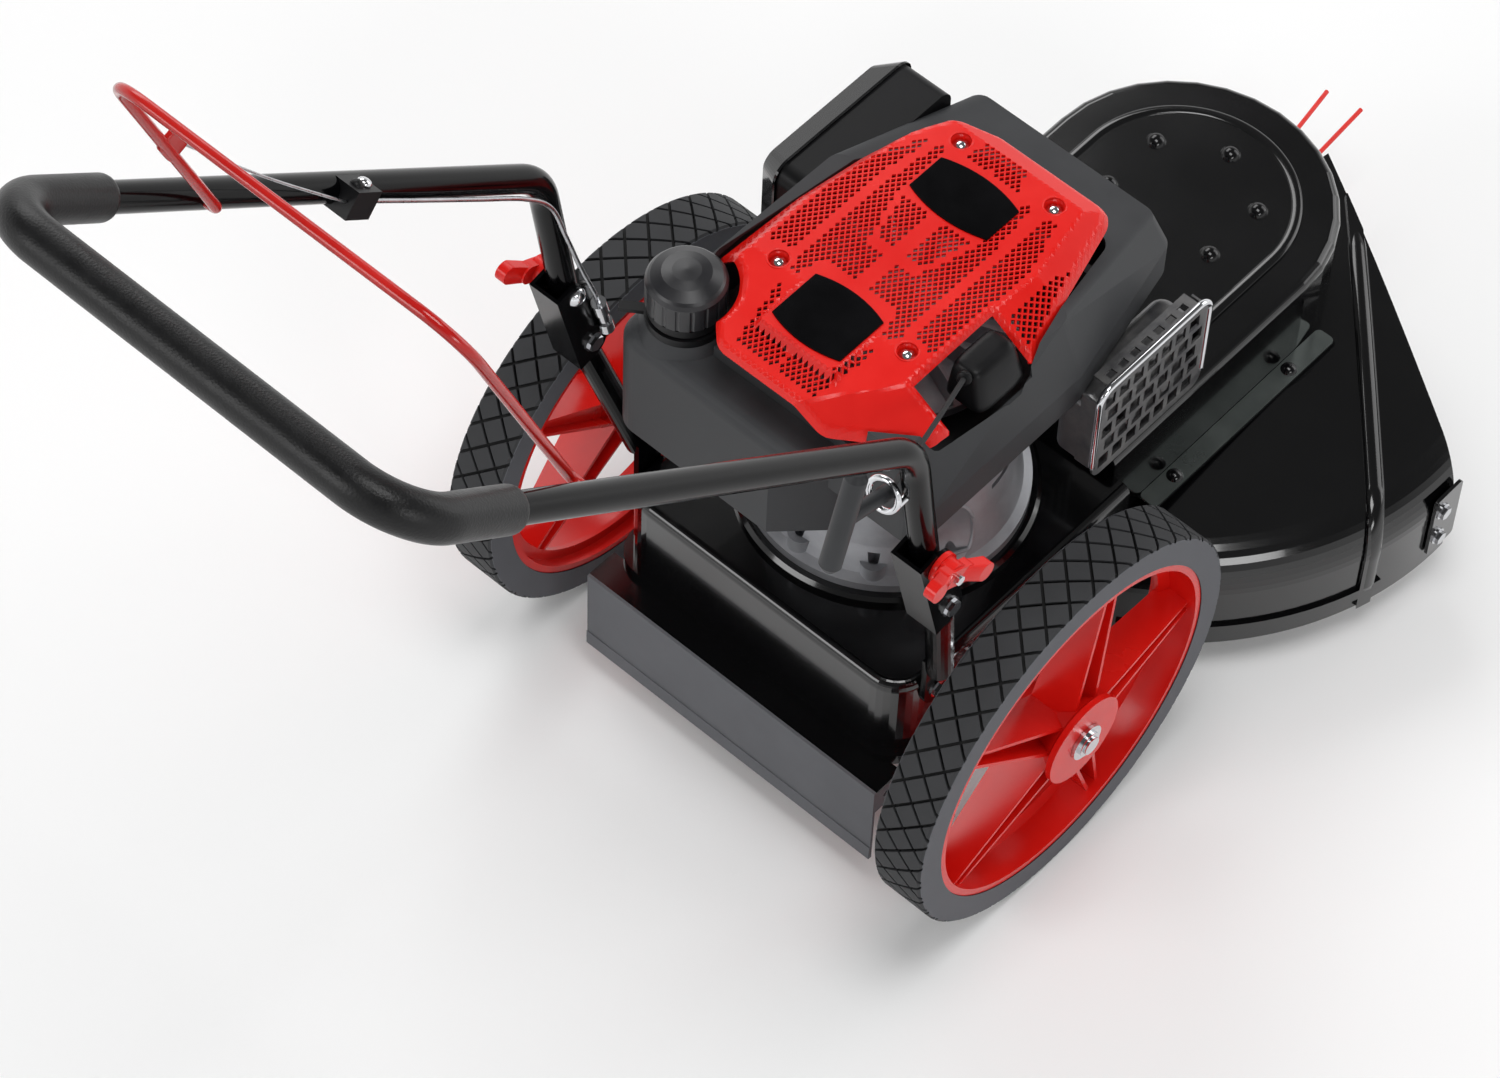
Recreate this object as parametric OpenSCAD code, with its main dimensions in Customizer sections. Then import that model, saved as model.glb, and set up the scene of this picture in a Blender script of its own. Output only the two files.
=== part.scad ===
// Wheeled string trimmer: two large wheels, a pressed steel deck, a vertical shaft
// engine over the axle, a belt drive to a line head at the front and a folding handle.
// Origin on the ground under the cutting spindle, +X right, +Y forward, +Z up.

/* [Wheels] */
// Outer radius of the tyres
wheel_r = 178; // [165:1:190]
// Width of the tyres
tyre_w = 46; // [40:1:50]
// Height of the tyre section from rim to tread
tyre_h = 25; // [20:1:30]
// Distance from the deck's side to the wheel's middle plane
wheel_gap = 76; // [74:1:90]
// Distance from the cutting spindle back to the axle
wheelbase = 421; // [412:1:430]
// Diameter of the axle
axle_d = 16; // [12:0.5:20]
// Diameter of the round face at the outer end of the hub
hub_d = 80; // [60:1:90]
// Length of the hub inside of the wheel's middle plane
hub_in = 31; // [26:1:36]
// Length of the hub outside of the wheel's middle plane
hub_out = 34; // [28:1:40]
// Number of spokes
spoke_n = 5; // [4:1:7]
// Number of slanted tread grooves each way round a tyre
tread_n = 42; // [36:1:48]
// Depth of the tread grooves
tread_depth = 4; // [2:0.5:6]
// Width of the tread grooves
tread_gap = 2.5; // [2:0.5:4]

/* [Deck] */
// Width of the engine deck
deck_w = 290; // [280:1:300]
// Height of the deck's top face
deck_top = 216; // [210:1:222]
// Distance of the deck's rear wall behind the spindle
deck_tail = 510; // [500:1:520]
// Distance of the deck's front edge behind the spindle
deck_nose = 238; // [234:1:239]
// Height of the deck's rear flange
flange_z = 125; // [118:1:130]
// Thickness of the pressed sheet
sheet = 2.5; // [2:0.1:3]
// Plan radius of the deck's rear corners
deck_corner = 30; // [20:1:40]
// Radius of the deck's pressed top edges
deck_edge = 8; // [5:1:10]
// Overhang of the rear skirt past each side of the deck
skirt_over = 5; // [3:0.5:7]
// Height of the rear skirt
skirt_h = 92; // [70:1:100]
// Distance of the rear skirt behind the deck's rear wall
skirt_gap = 27; // [20:1:34]

/* [Belt drive] */
// Distance of the crankshaft behind the spindle
crank_back = 361; // [360:0.5:366]
// Width of the belt cover
cover_w = 256; // [250:1:262]
// Height of the belt cover's top face
cover_top = 236; // [232:1:242]
// Height of the belt floor's upper face
floor_z = 150; // [147:1:152]
// Thickness of the belt floor
floor_t = 3; // [2:0.5:4]
// Outer radius of the engine pulley
engine_pulley_r = 40; // [34:1:44]
// Outer radius of the spindle pulley
spindle_pulley_r = 56; // [48:1:66]
// Width of the belt
belt_w = 12; // [10:0.5:14]
// Thickness of the belt
belt_t = 8; // [6:0.5:9]
// Height of the belt's middle plane
belt_z = 180; // [178:1:182]

/* [Cutting head] */
// Diameter of the cutting spindle
spindle_d = 17; // [14:0.5:20]
// Radius of the line head
head_r = 62; // [56:1:66]
// Height of the cutting line above the ground
line_z = 88; // [84:1:92]
// Thickness of the line head
head_h = 46; // [40:1:50]
// Radius that the line tips reach
cut_r = 282; // [260:1:284]
// Diameter of the cutting line
line_d = 4; // [2.4:0.1:4.4]
// Radius of the glide dish on the ground
glide_r = 70; // [60:1:80]
// Radius of the bolt circle on the belt cover
bolt_circle_r = 61; // [56:1:66]

/* [Side guard] */
// Outer radius of the guard's skirt about the spindle
guard_r = 292; // [290:1:296]
// Radius of the guard's rolled shoulder
guard_roll = 38; // [30:1:44]
// Height of the guard's lower edge
guard_low = 30; // [20:1:40]
// Height of the pressed ribs
rib_h = 3; // [2:0.5:4]
// Width of the pressed ribs
rib_w = 12; // [8:1:16]

/* [Engine] */
// Radius of the seat ring under the engine
seat_r = 121; // [118:0.5:122]
// Height of the seat ring
seat_h = 8; // [6:0.5:10]
// Diameter of the crankshaft
crank_d = 22; // [18:1:25]
// Height of the crankcase
case_h = 161; // [155:1:165]
// Height of the fan shroud
shroud_h = 97; // [92:1:102]
// Wall of the moulded covers
wall = 3; // [2.5:0.5:4]
// Height of the engine cover's top above the shroud's rim
cap_h = 17; // [14:1:20]
// Pitch of the vent lattice
vent_pitch = 8; // [7:0.5:10]
// Size of one vent hole
vent_size = 4.4; // [3:0.2:5]
// Outer radius of the fuel cap
fuel_cap_r = 31; // [28:1:33]
// Height of the fuel cap
fuel_cap_h = 36; // [30:1:40]

/* [Handle] */
// Distance of the handle's tubes outside the deck's side
arm_gap = 31; // [29:1:33]
// Diameter of the handle tube
tube_d = 22; // [20:0.5:23]
// Wall of the handle tube
tube_wall = 1.5; // [1:0.1:2]
// Rise from the strut's foot bolt to the fold bolt
fold_rise = 268; // [260:1:276]
// Distance of the fold bolt behind the strut's foot bolt
fold_lean = 66; // [60:1:72]
// Rise of the upright from the fold bolt to the bend
upright_rise = 148; // [142:1:154]
// Distance of the bend behind the fold bolt
upright_lean = 24; // [20:1:28]
// Length of the handle arm from the bend to the grip bar
arm_len = 632; // [620:1:644]
// Slope of the handle arm
arm_slope = 40.2; // [39:0.1:41.4]
// Bend radius at the grip's corners
grip_bend = 45; // [40:1:50]
// Outer diameter of the foam grip
foam_d = 32; // [30:0.5:33]
// Length of the foam down each arm from the grip bar
foam_leg = 115; // [105:1:125]
// Diameter of the bail rod
bail_d = 8; // [7:0.5:9]
// Length of the bail's legs
bail_len = 231; // [226:1:235]
// Angle of the bail above the arms at rest
bail_lift = 28; // [27.5:0.5:30]
// Distance of the bail's pivots from the grip bar along the arm
bail_back = 214; // [208:1:216]
// Diameter of the handle bolts
bolt_d = 8; // [6:1:9]
// Span of the wing nuts
wing_span = 76; // [60:1:80]

/* [Fits] */
// Clearance between pieces that only rest against each other
seat_gap = 0.3; // [0.2:0.05:0.4]
// Radial clearance of a turning fit
run_gap = 0.05; // [0.03:0.01:0.08]
// Radial clearance of a bolt in its hole
bolt_gap = 0.15; // [0.1:0.05:0.2]

/* [Hidden] */
$fn = 64;

steel_black = [0.06, 0.06, 0.07];
plastic_grey = [0.20, 0.20, 0.21];
plastic_black = [0.08, 0.08, 0.09];
bright_red = [0.85, 0.12, 0.09];
silver = [0.72, 0.72, 0.74];
chrome = [0.85, 0.86, 0.88];
rubber_grey = [0.27, 0.27, 0.28];

// Wheels
rim_r = wheel_r - tyre_h;
deck_x = deck_w / 2;
wheel_x = deck_x + wheel_gap;
axle_r = axle_d / 2;
axle_end = wheel_x + hub_out + 8;
washer_t = 3;
spoke_turn = 19.5;
spoke_root = 14;
spoke_tip = 5;
spoke_taper = atan((spoke_root - spoke_tip) / rim_r);

// Deck and belt tunnel
skirt_w = deck_w + 2 * skirt_over;
cover_r = cover_w / 2;
floor_low = floor_z - floor_t;
step_back = 330;
foot_y = -(deck_tail - 38);
foot_z = deck_top - 16;
strip_w = 18;
strip_t = 2;
strip_front = 29;
strip_back = 200;
panel_r = 97;
panel_h = 1.5;
strip_screws = [-20, -165];

// Belt drive
groove_root = belt_t + 1 + seat_gap;
pulley_h = belt_w + 10;
belt_in_e = engine_pulley_r - groove_root + seat_gap;
belt_in_s = spindle_pulley_r - groove_root + seat_gap;
housing_top = cover_top - sheet;
flange_t = 8;
bearing_h = 12;
bearing_r = 20;
housing_low = belt_z + pulley_h / 2 + 6;
spindle_r = spindle_d / 2;
head_low = line_z - head_h / 2 + 1;
head_top = head_low + head_h;
glide_bore_low = 10;
shaft_low = 12;
hub_tube_r = 22;
hub_hole_r = 34;
line_start = 40;
line_ends = [[-15, 98.5], [-2, 93.5]];

// Side guard
guard_flat = floor_low - 0.1;
guard_turn = 150;
guard_drop = 13;
guard_slope_r = guard_r - guard_roll;
guard_shoulder = guard_flat - guard_drop;
guard_start = -110;
guard_end = 85;
edge_a = [32, 175];
edge_b = [guard_r - 9, 13];
rib_a = [60, 162];
rib_b = [248, -47];
plate_t = 3;

// Engine, in a frame on the crankshaft axis at the top of the seat ring
crank_r = crank_d / 2;
seat_top = deck_top + seat_h;
shroud_low = case_h;
shroud_top = case_h + shroud_h;
cover_peak = shroud_top + cap_h;
cover_pts = [[-40, -130], [48, -130], [100, -92], [107, -16], [70, 121], [-20, 121],
             [-42, 112], [-73, 48], [-89, -80]];
screw_pts = [[-63, -67], [62, -67], [-38, 109], [53, 109]];
badge_front = [0, 68];
badge_rear = [0, -84];
tank_x0 = -140;
tank_x1 = 60;
tank_y0 = -164;
tank_y1 = -96;
tank_z0 = 106;
tank_z1 = 216;
cap_at = [-102, -124];
neck_r = fuel_cap_r - 5;
cap_low = tank_z1 + 29;
filter_x = -126;
filter_y0 = 16;
filter_y1 = 169;
filter_z0 = 132;
filter_z1 = 241;
outlet_y0 = -52;
outlet_y1 = 2;
outlet_z0 = shroud_top - 24;
outlet_z1 = shroud_top + 14;
outlet_clear = 32;
outlet_x0 = 84;
outlet_x1 = 122;
pipe_at = [121, 120];
muffler_y0 = 60;
muffler_y1 = 182;
muffler_z0 = 84;
muffler_z1 = 156;
muffler_x0 = 108;
muffler_x1 = 144;
screen_x = 152;
screen_t = 2;
screen_in = 134.5;
screen_y0 = 56;
screen_y1 = 186;
screen_z0 = 76;
screen_z1 = 181;
fan_r = 90;
fan_low = shroud_low + 24;

// Handle
arm_x = deck_x + arm_gap;
tube_r = tube_d / 2;
bore_r = tube_r - tube_wall;
bolt_r = bolt_d / 2;
fold_y = foot_y - fold_lean;
fold_z = foot_z + fold_rise;
bend_y = fold_y - upright_lean;
bend_z = fold_z + upright_rise;
grip_y = bend_y - arm_len * cos(arm_slope);
grip_z = bend_z + arm_len * sin(arm_slope);
strut_tilt = atan(fold_lean / fold_rise);
strut_dir = [0, sin(strut_tilt), -cos(strut_tilt)];
arm_dir = [0, -cos(arm_slope), sin(arm_slope)];
fold_at = [arm_x, fold_y, fold_z];
bend_at = [arm_x, bend_y, bend_z];
up_dir = unit(bend_at - fold_at);
grip_at = [arm_x, grip_y, grip_z];
cheek_t = 3;
cheek_in = tube_r + seat_gap;
cheek_out = cheek_in + cheek_t;
tube_stub = 9;
web_back = norm([tube_stub, tube_r]) + 1;
bracket_up = 16;
bracket_down = 90;
strut_top = 36;
second_bolt = 70;
plate_bolt_t = 5;
bail_r = bail_d / 2;
bail_at = grip_at - arm_dir * bail_back;
bail_x = arm_x - foam_d / 2 - bail_r - 1.5;
bail_dir = [0, -cos(arm_slope + bail_lift), sin(arm_slope + bail_lift)];
head_t = 5;
knob_gap = 0.3;
clamp_at = bend_at + arm_dir * 255;

// Rope guide on the right upright
guide_s = 96;
guide_at = fold_at + up_dir * guide_s;
ring_r = 13;
ring_wire = 2.5;
ring_at = [arm_x - 14, guide_at.y - 19.5, guide_at.z];
pull_tilt = 16;
pull_dir = [0, -cos(pull_tilt), sin(pull_tilt)];
stem_len = 45;
bar_len = 92;
rope_r = 2;
cable_r = 2.5;
rope_pts = [[104, -414, 489], [118, -451, 505], [133, -491, 523], [148, -531, 542]];
adjuster_at = fold_at + strut_dir * 15 + [-cheek_out - seat_gap - 6, 12, 0];
clamp_half = 14;
clamp_deep = 11;
lug_s = 108;
lug_at = [bail_x - 3, bail_at.y, bail_at.z] + bail_dir * lug_s + [0, bail_dir.z, -bail_dir.y] * 7;
lug_r = 8;
wire_x = arm_x - 18;
clamp_rear = [wire_x, clamp_at.y, clamp_at.z] + arm_dir * (clamp_half + 0.3);
clamp_front = [wire_x, clamp_at.y, clamp_at.z] - arm_dir * (clamp_half + 0.3);
wire_end = lug_at - unit(lug_at - clamp_rear) * (lug_r + 1);
cable_pts = [for (p = [[15, -700, 728], [15, -640, 675], [15, -592, 632], [16, -567, 600], [17, -553, 556],
                       [19, -540, 510], [20.5, -527, 470]])
    [arm_x - p.x, p.y, p.z]];

function unit(v) = v / norm(v);

function bend_inset(p, q, s, bend_r) =
    bend_r * tan(acos(unit(q - p) * unit(s - q)) / 2);

// Straight round bar from p to q
module rod(p, q, r) {
    d = q - p;
    translate(p)
        rotate([0, acos(d.z / norm(d)), atan2(d.y, d.x)])
            cylinder(r = r, h = norm(d));
}

// Centre points of the round bend at corner q between p and s
function bend_arc(p, q, s, bend_r, steps) =
    let (d1 = unit(q - p), d2 = unit(s - q), n1 = unit(d2 - d1 * (d1 * d2)), turn = acos(d1 * d2),
         c = q - d1 * bend_inset(p, q, s, bend_r) + n1 * bend_r)
    [for (k = [0 : steps]) c + bend_r * (d1 * sin(turn * k / steps) - n1 * cos(turn * k / steps))];

// Centre line through corner points, each inner corner bent to its own radius
function bent_path(pts, radii, steps = 6) = concat(
    [pts[0]],
    [for (i = [1 : len(pts) - 2]) each bend_arc(pts[i - 1], pts[i], pts[i + 1], radii[i - 1], steps)],
    [pts[len(pts) - 1]]);

// Round bar or tube swept along a centre line as one closed skin
module swept(path, r, r_in = 0, sides = 24) {
    n = len(path);
    size = n * sides;
    top = size - sides;
    dirs = [for (i = [0 : n - 1])
        i == 0 ? unit(path[1] - path[0])
        : i == n - 1 ? unit(path[i] - path[i - 1])
        : unit(unit(path[i + 1] - path[i]) + unit(path[i] - path[i - 1]))];
    start = abs(dirs[0].x) < 0.9 ? [1, 0, 0] : [0, 0, 1];
    sides_a = [for (i = 0, a = unit(start - dirs[0] * (dirs[0] * start)); i < n;
        i = i + 1, a = i < n ? unit(a - dirs[i] * (dirs[i] * a)) : a) a];
    spread = [for (rr = r_in > 0 ? [r, r_in] : [r]) for (i = [0 : n - 1]) for (k = [0 : sides - 1])
        path[i] + rr * (cos(360 * k / sides) * sides_a[i]
                        + sin(360 * k / sides) * cross(dirs[i], sides_a[i]))];
    outer = [for (i = [0 : n - 2]) for (k = [0 : sides - 1]) let (m = (k + 1) % sides)
        [i * sides + k, (i + 1) * sides + k, (i + 1) * sides + m, i * sides + m]];
    inner = [for (f = outer) [for (v = [3 : -1 : 0]) f[v] + size]];
    rims = [for (k = [0 : sides - 1]) let (m = (k + 1) % sides)
        each [[k, m, size + m, size + k], [top + m, top + k, size + top + k, size + top + m]]];
    caps = [[for (k = [0 : sides - 1]) k], [for (k = [0 : sides - 1]) size - 1 - k]];
    polyhedron(points = spread, faces = r_in > 0 ? concat(outer, inner, rims) : concat(outer, caps),
        convexity = 8);
}

// Upright post with a rounded top edge, for the corners of pressed boxes
module soft_post(r, h, edge) {
    cylinder(r = r, h = h - edge, $fn = 32);
    translate([0, 0, h - edge])
        rotate_extrude($fn = 32)
            intersection() {
                translate([r - edge, 0])
                    circle(edge, $fn = 32);
                translate([0, -edge])
                    square([r, 2 * edge]);
            }
}

// Box with round corners in plan and a rounded top edge
module soft_box(x0, x1, y0, y1, z0, z1, corner, edge) {
    hull()
        for (x = [x0 + corner, x1 - corner], y = [y0 + corner, y1 - corner])
            translate([x, y, z0])
                soft_post(corner, z1 - z0, edge);
}

// Flat outline with round corners
module round_rect(x0, x1, y0, y1, r) {
    translate([x0 + r, y0])
        square([x1 - x0 - 2 * r, y1 - y0]);
    translate([x0, y0 + r])
        square([x1 - x0, y1 - y0 - 2 * r]);
    for (x = [x0 + r, x1 - r], y = [y0 + r, y1 - r])
        translate([x, y])
            circle(r);
}

// Flat outline with a half round front end about the spindle and a square rear end
module nose_outline(r, back) {
    circle(r, $fn = 128);
    translate([-r, -back])
        square([2 * r, back]);
}

// Lay a revolved shape with its axis along X
module along_x() {
    rotate([0, 90, 0])
        children();
}

// Place children on the axle, one per side
module at_wheel(side) {
    translate([0, -wheelbase, wheel_r])
        mirror([side < 0 ? 1 : 0, 0, 0])
            children();
}

// Place children in the engine's frame
module at_engine() {
    translate([0, -crank_back, seat_top])
        children();
}

// Place children on both sides of the middle plane
module both_sides() {
    for (s = [0, 1])
        mirror([s, 0, 0])
            children();
}

// Hexagon head with its washer face at z = 0
module hex_head(r, h) {
    cylinder(r = r * 1.25, h = 1.2);
    translate([0, 0, 1.2])
        cylinder(r = r, h = h - 1.2, $fn = 6);
}

// Round headed screw, flat face at z = 0
module dome_head(r, h) {
    intersection() {
        cylinder(r = r, h = h);
        translate([0, 0, h - (r * r + h * h) / (2 * h)])
            sphere(r = (r * r + h * h) / (2 * h));
    }
}

// Pressed engine deck with the belt floor in front of it
module main_deck() {
    color(steel_black)
        difference() {
            union() {
                difference() {
                    soft_box(-deck_x, deck_x, -deck_tail, -deck_nose + 60, flange_z - sheet, deck_top,
                        deck_corner, deck_edge);
                    soft_box(-deck_x + sheet, deck_x - sheet, -deck_tail + sheet, -deck_nose + 90,
                        flange_z - sheet - 1, deck_top - sheet, deck_corner - sheet, deck_edge - sheet);
                    translate([-deck_x - 1, -deck_nose, 0])
                        cube([deck_w + 2, 200, deck_top + 1]);
                    translate([-deck_x - 1, -step_back, 0])
                        cube([deck_w + 2, 200, floor_low]);
                }
                // stepped foot round the rear of the deck
                translate([0, 0, flange_z - sheet])
                    linear_extrude(sheet + 8)
                        difference() {
                            round_rect(-deck_x - 5, deck_x + 5, -deck_tail - 6, -step_back, deck_corner);
                            round_rect(-deck_x + sheet, deck_x - sheet, -deck_tail + sheet,
                                -step_back + deck_corner, deck_corner - sheet);
                            translate([-deck_x - 6, -deck_tail + 60])
                                square([deck_w + 12, 200]);
                        }
                // flange that carries the rear skirt
                translate([-skirt_w / 2, -deck_tail - skirt_gap, flange_z - sheet])
                    cube([skirt_w, skirt_gap + sheet / 2, sheet]);
                // belt floor
                translate([0, 0, floor_low])
                    linear_extrude(floor_t) {
                        nose_outline(cover_r, deck_nose);
                        translate([-deck_x + sheet / 2, -step_back])
                            square([deck_w - sheet, step_back - deck_nose]);
                        translate([0, -strip_back])
                            square([cover_r + strip_w, strip_back + strip_front]);
                    }
            }
            translate([0, -crank_back, deck_top - 20])
                cylinder(r = 60, h = 40);
            translate([0, -crank_back, floor_low - 1])
                cylinder(r = engine_pulley_r + 8, h = floor_t + 2);
            translate([0, 0, floor_low - 1])
                cylinder(r = hub_hole_r, h = floor_t + 2);
            translate([0, -wheelbase, wheel_r])
                along_x()
                    cylinder(r = axle_r + bolt_gap, h = deck_w + 2, center = true);
            translate([0, foot_y, foot_z])
                along_x()
                    cylinder(r = bolt_r + bolt_gap, h = deck_w + 2, center = true);
            for (y = strip_screws)
                translate([cover_r + strip_w / 2, y, floor_low - 1])
                    cylinder(r = 3 + bolt_gap, h = floor_t + 2);
        }
}

// Trailing skirt behind the deck, with its folded lower hem and end tabs
module rear_skirt() {
    top = flange_z;
    back = -deck_tail - skirt_gap;
    color(rubber_grey) {
        translate([-skirt_w / 2, back - sheet, top - skirt_h])
            cube([skirt_w, sheet, skirt_h]);
        translate([-skirt_w / 2, back - sheet - 1, top - skirt_h])
            cube([skirt_w, 1, 16]);
        both_sides()
            difference() {
                translate([skirt_w / 2 - 2, back, top - sheet - 26])
                    cube([2, 20, 26]);
                translate([skirt_w / 2, back + 12, top - sheet - 12])
                    along_x()
                        cylinder(r = 3, h = 10, center = true);
            }
    }
}

// Belt cover with its raised panel
module belt_cover() {
    color(steel_black)
        difference() {
            union() {
                hull()
                    for (y = [0, -deck_nose - 80])
                        translate([0, y, floor_z])
                            soft_post(cover_r, cover_top - floor_z, deck_edge);
                translate([0, 0, cover_top - 1])
                    linear_extrude(panel_h + 1)
                        nose_outline(panel_r, deck_nose);
            }
            hull()
                for (y = [0, -deck_nose + sheet + cover_r])
                    translate([0, min(y, 0), floor_z - 1])
                        soft_post(cover_r - sheet, cover_top - floor_z - sheet + 1, deck_edge - sheet);
            translate([-cover_r + sheet, -deck_nose - 1, floor_z - 1])
                cube([cover_w - 2 * sheet, deck_nose, deck_top - sheet - floor_z + 1]);
            translate([-cover_r + sheet, -deck_nose + sheet, floor_z - 1])
                cube([cover_w - 2 * sheet, deck_nose - sheet, cover_top - floor_z - sheet - deck_edge]);
            translate([-cover_r - 1, -deck_nose - 300, floor_z - 1])
                cube([cover_w + 2, 300, 200]);
            for (k = [0 : 5])
                rotate(30 + 60 * k)
                    translate([bolt_circle_r, 0, cover_top - 10])
                        cylinder(r = bolt_r + bolt_gap, h = 20);
        }
}

// Section of the guard's sheet, raised by lift on its outer side and thick downwards
function guard_side(lift) = concat(
    [[bolt_circle_r, guard_flat + lift], [guard_turn, guard_flat + lift]],
    [for (k = [0 : 9])
        [guard_slope_r + (guard_roll + lift) * sin(12 + 78 * k / 9),
         guard_shoulder - guard_roll + (guard_roll + lift) * cos(12 + 78 * k / 9)]],
    [[guard_r + lift, guard_low]]);

function reversed(list) = [for (i = [len(list) - 1 : -1 : 0]) list[i]];

module guard_shell(lift, thick) {
    rotate(guard_start)
        rotate_extrude(angle = guard_end - guard_start, $fn = 128)
            polygon(concat(guard_side(lift), reversed(guard_side(lift - thick))));
}

// Side guard: a domed sheet cut straight along its front edge, with pressed ribs
module side_guard() {
    edge_turn = atan2(edge_b.y - edge_a.y, edge_b.x - edge_a.x);
    rib_turn = atan2(rib_b.y - rib_a.y, rib_b.x - rib_a.x);
    color(steel_black)
        difference() {
            union() {
                guard_shell(0, sheet);
                intersection() {
                    guard_shell(rib_h, rib_h + sheet / 2);
                    translate([rib_a.x, rib_a.y, 0])
                        rotate(rib_turn)
                            translate([0, -rib_w / 2, 0])
                                cube([400, rib_w, 200]);
                }
                rotate(-58)
                    rotate_extrude(angle = 44, $fn = 128)
                        translate([guard_r - sheet / 2, guard_low + 14])
                            square([rib_h + sheet / 2, rib_w]);
            }
            translate([edge_a.x, edge_a.y, 0])
                rotate(edge_turn)
                    translate([-400, 0, -1])
                        cube([1200, 500, 300]);
            for (y = strip_screws)
                translate([cover_r + strip_w / 2, y, guard_flat - 20])
                    cylinder(r = 3 + bolt_gap, h = 30);
            for (z = [65, 99])
                translate([guard_r, -12, z])
                    along_x()
                        cylinder(r = 3 + bolt_gap, h = 40, center = true);
        }
}

// Steel strip that clamps the guard along the belt cover's right side
module guard_strip() {
    color(steel_black)
        translate([0, 0, floor_z])
            linear_extrude(strip_t)
                difference() {
                    round_rect(cover_r + seat_gap, cover_r + strip_w, -strip_back, strip_front, 5);
                    for (y = strip_screws)
                        translate([cover_r + strip_w / 2, y])
                            circle(3 + bolt_gap);
                }
}

module guard_strip_screws() {
    color(plastic_black)
        for (y = strip_screws)
            translate([cover_r + strip_w / 2, y, floor_z + strip_t]) {
                dome_head(7, 4.5);
                translate([0, 0, -strip_t - floor_t - sheet - 3])
                    cylinder(r = 3, h = strip_t + floor_t + sheet + 3);
            }
}

// Folded plate that stiffens the guard's front corner
module guard_end_plate() {
    color(steel_black)
        translate([guard_r + 0.6, 0, 0])
            rotate([90, 0, 90])
                linear_extrude(plate_t)
                    difference() {
                        round_rect(-22, 12, guard_low + 16, guard_low + 88, 4);
                        for (z = [65, 99])
                            translate([-12, z])
                                circle(3 + bolt_gap);
                    }
}

module guard_plate_bolts() {
    color(chrome)
        for (z = [65, 99])
            translate([guard_r + 0.6 + plate_t, -12, z])
                along_x() {
                    hex_head(6, 5);
                    translate([0, 0, -plate_t - sheet - 3])
                        cylinder(r = 3, h = plate_t + sheet + 3);
                }
}

// Flanged bearing carrier under the belt cover's top
module spindle_housing() {
    color(silver)
        difference() {
            union() {
                translate([0, 0, housing_top - flange_t])
                    cylinder(r = bolt_circle_r + 11, h = flange_t);
                translate([0, 0, housing_low])
                    cylinder(r = bearing_r + 8, h = housing_top - housing_low);
                for (k = [0 : 5])
                    rotate(60 * k)
                        translate([bearing_r + 4, -2.5, housing_top - flange_t - 10])
                            cube([26, 5, 11]);
            }
            translate([0, 0, housing_low - 1])
                cylinder(r = bearing_r, h = housing_top - housing_low - 3);
            for (k = [0 : 5])
                rotate(30 + 60 * k)
                    translate([bolt_circle_r, 0, housing_top - 20])
                        cylinder(r = bolt_r + bolt_gap, h = 30);
        }
}

module spindle_bolts() {
    color(plastic_black)
        for (k = [0 : 5])
            rotate(30 + 60 * k)
                translate([bolt_circle_r, 0, cover_top + panel_h]) {
                    dome_head(8.5, 6);
                    translate([0, 0, -panel_h - sheet - flange_t - 6])
                        cylinder(r = bolt_r, h = panel_h + sheet + flange_t + 6);
                }
}

// Two ball bearings in the carrier
module spindle_bearings() {
    color(silver)
        for (z = [housing_low + 0.5, housing_top - 4 - bearing_h])
            translate([0, 0, z])
                difference() {
                    cylinder(r = bearing_r, h = bearing_h);
                    translate([0, 0, -1])
                        cylinder(r = spindle_r + run_gap, h = bearing_h + 2);
                    for (face = [-0.5, bearing_h - 0.5])
                        translate([0, 0, face])
                            difference() {
                                cylinder(r = bearing_r - 3, h = 1);
                                cylinder(r = spindle_r + 3, h = 1);
                            }
                }
}

module spindle_shaft() {
    color(silver)
        translate([0, 0, shaft_low])
            cylinder(r = spindle_r, h = housing_top - 4 - shaft_low);
}

// Pulley with a V groove for the belt, bored for its shaft
module pulley(r, bore) {
    root = r - groove_root;
    half = pulley_h / 2;
    rotate_extrude()
        polygon([[bore, -half], [r, -half], [r, -belt_w / 2 - 2], [root, -belt_w / 2 - 0.5],
                 [root, belt_w / 2 + 0.5], [r, belt_w / 2 + 2], [r, half], [bore, half]]);
}

module spindle_pulley() {
    color(silver)
        translate([0, 0, belt_z])
            pulley(spindle_pulley_r, spindle_r);
}

module engine_pulley() {
    color(silver)
        translate([0, -crank_back, belt_z])
            pulley(engine_pulley_r, crank_r);
}

// Line head with its drive tube and the four line eyes
module cutter_head() {
    color(plastic_black)
        difference() {
            union() {
                translate([0, 0, head_low])
                    rotate_extrude()
                        polygon([[0, 0], [head_r - 14, 0], [head_r - 4, 6], [head_r, 14],
                                 [head_r, head_h - 12],
                                 [head_r - 8, head_h - 3], [hub_tube_r + 10, head_h], [0, head_h]]);
                translate([0, 0, head_top - 1])
                    cylinder(r = hub_tube_r, h = belt_z - pulley_h / 2 - head_top + 1);
                for (k = [0 : 7])
                    rotate(22.5 + 45 * k)
                        translate([head_r - 2, -4, head_low + 16])
                            cube([5, 8, head_h - 31]);
            }
            translate([0, 0, head_low - 1])
                cylinder(r = spindle_r, h = 200);
            line_set(line_d / 2 + bolt_gap);
        }
}

// The two hairpin lines as four straight ends, each from its start point at its own angle
module line_set(r) {
    for (turn = [0, 180])
        rotate(turn)
            for (end = line_ends)
                rod([end.x, line_start, line_z],
                    [end.x + cut_r * cos(end.y), line_start + cut_r * sin(end.y), line_z], r);
}

module trimmer_lines() {
    color(bright_red)
        intersection() {
            line_set(line_d / 2);
            cylinder(r = cut_r, h = 200, $fn = 128);
        }
}

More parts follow.
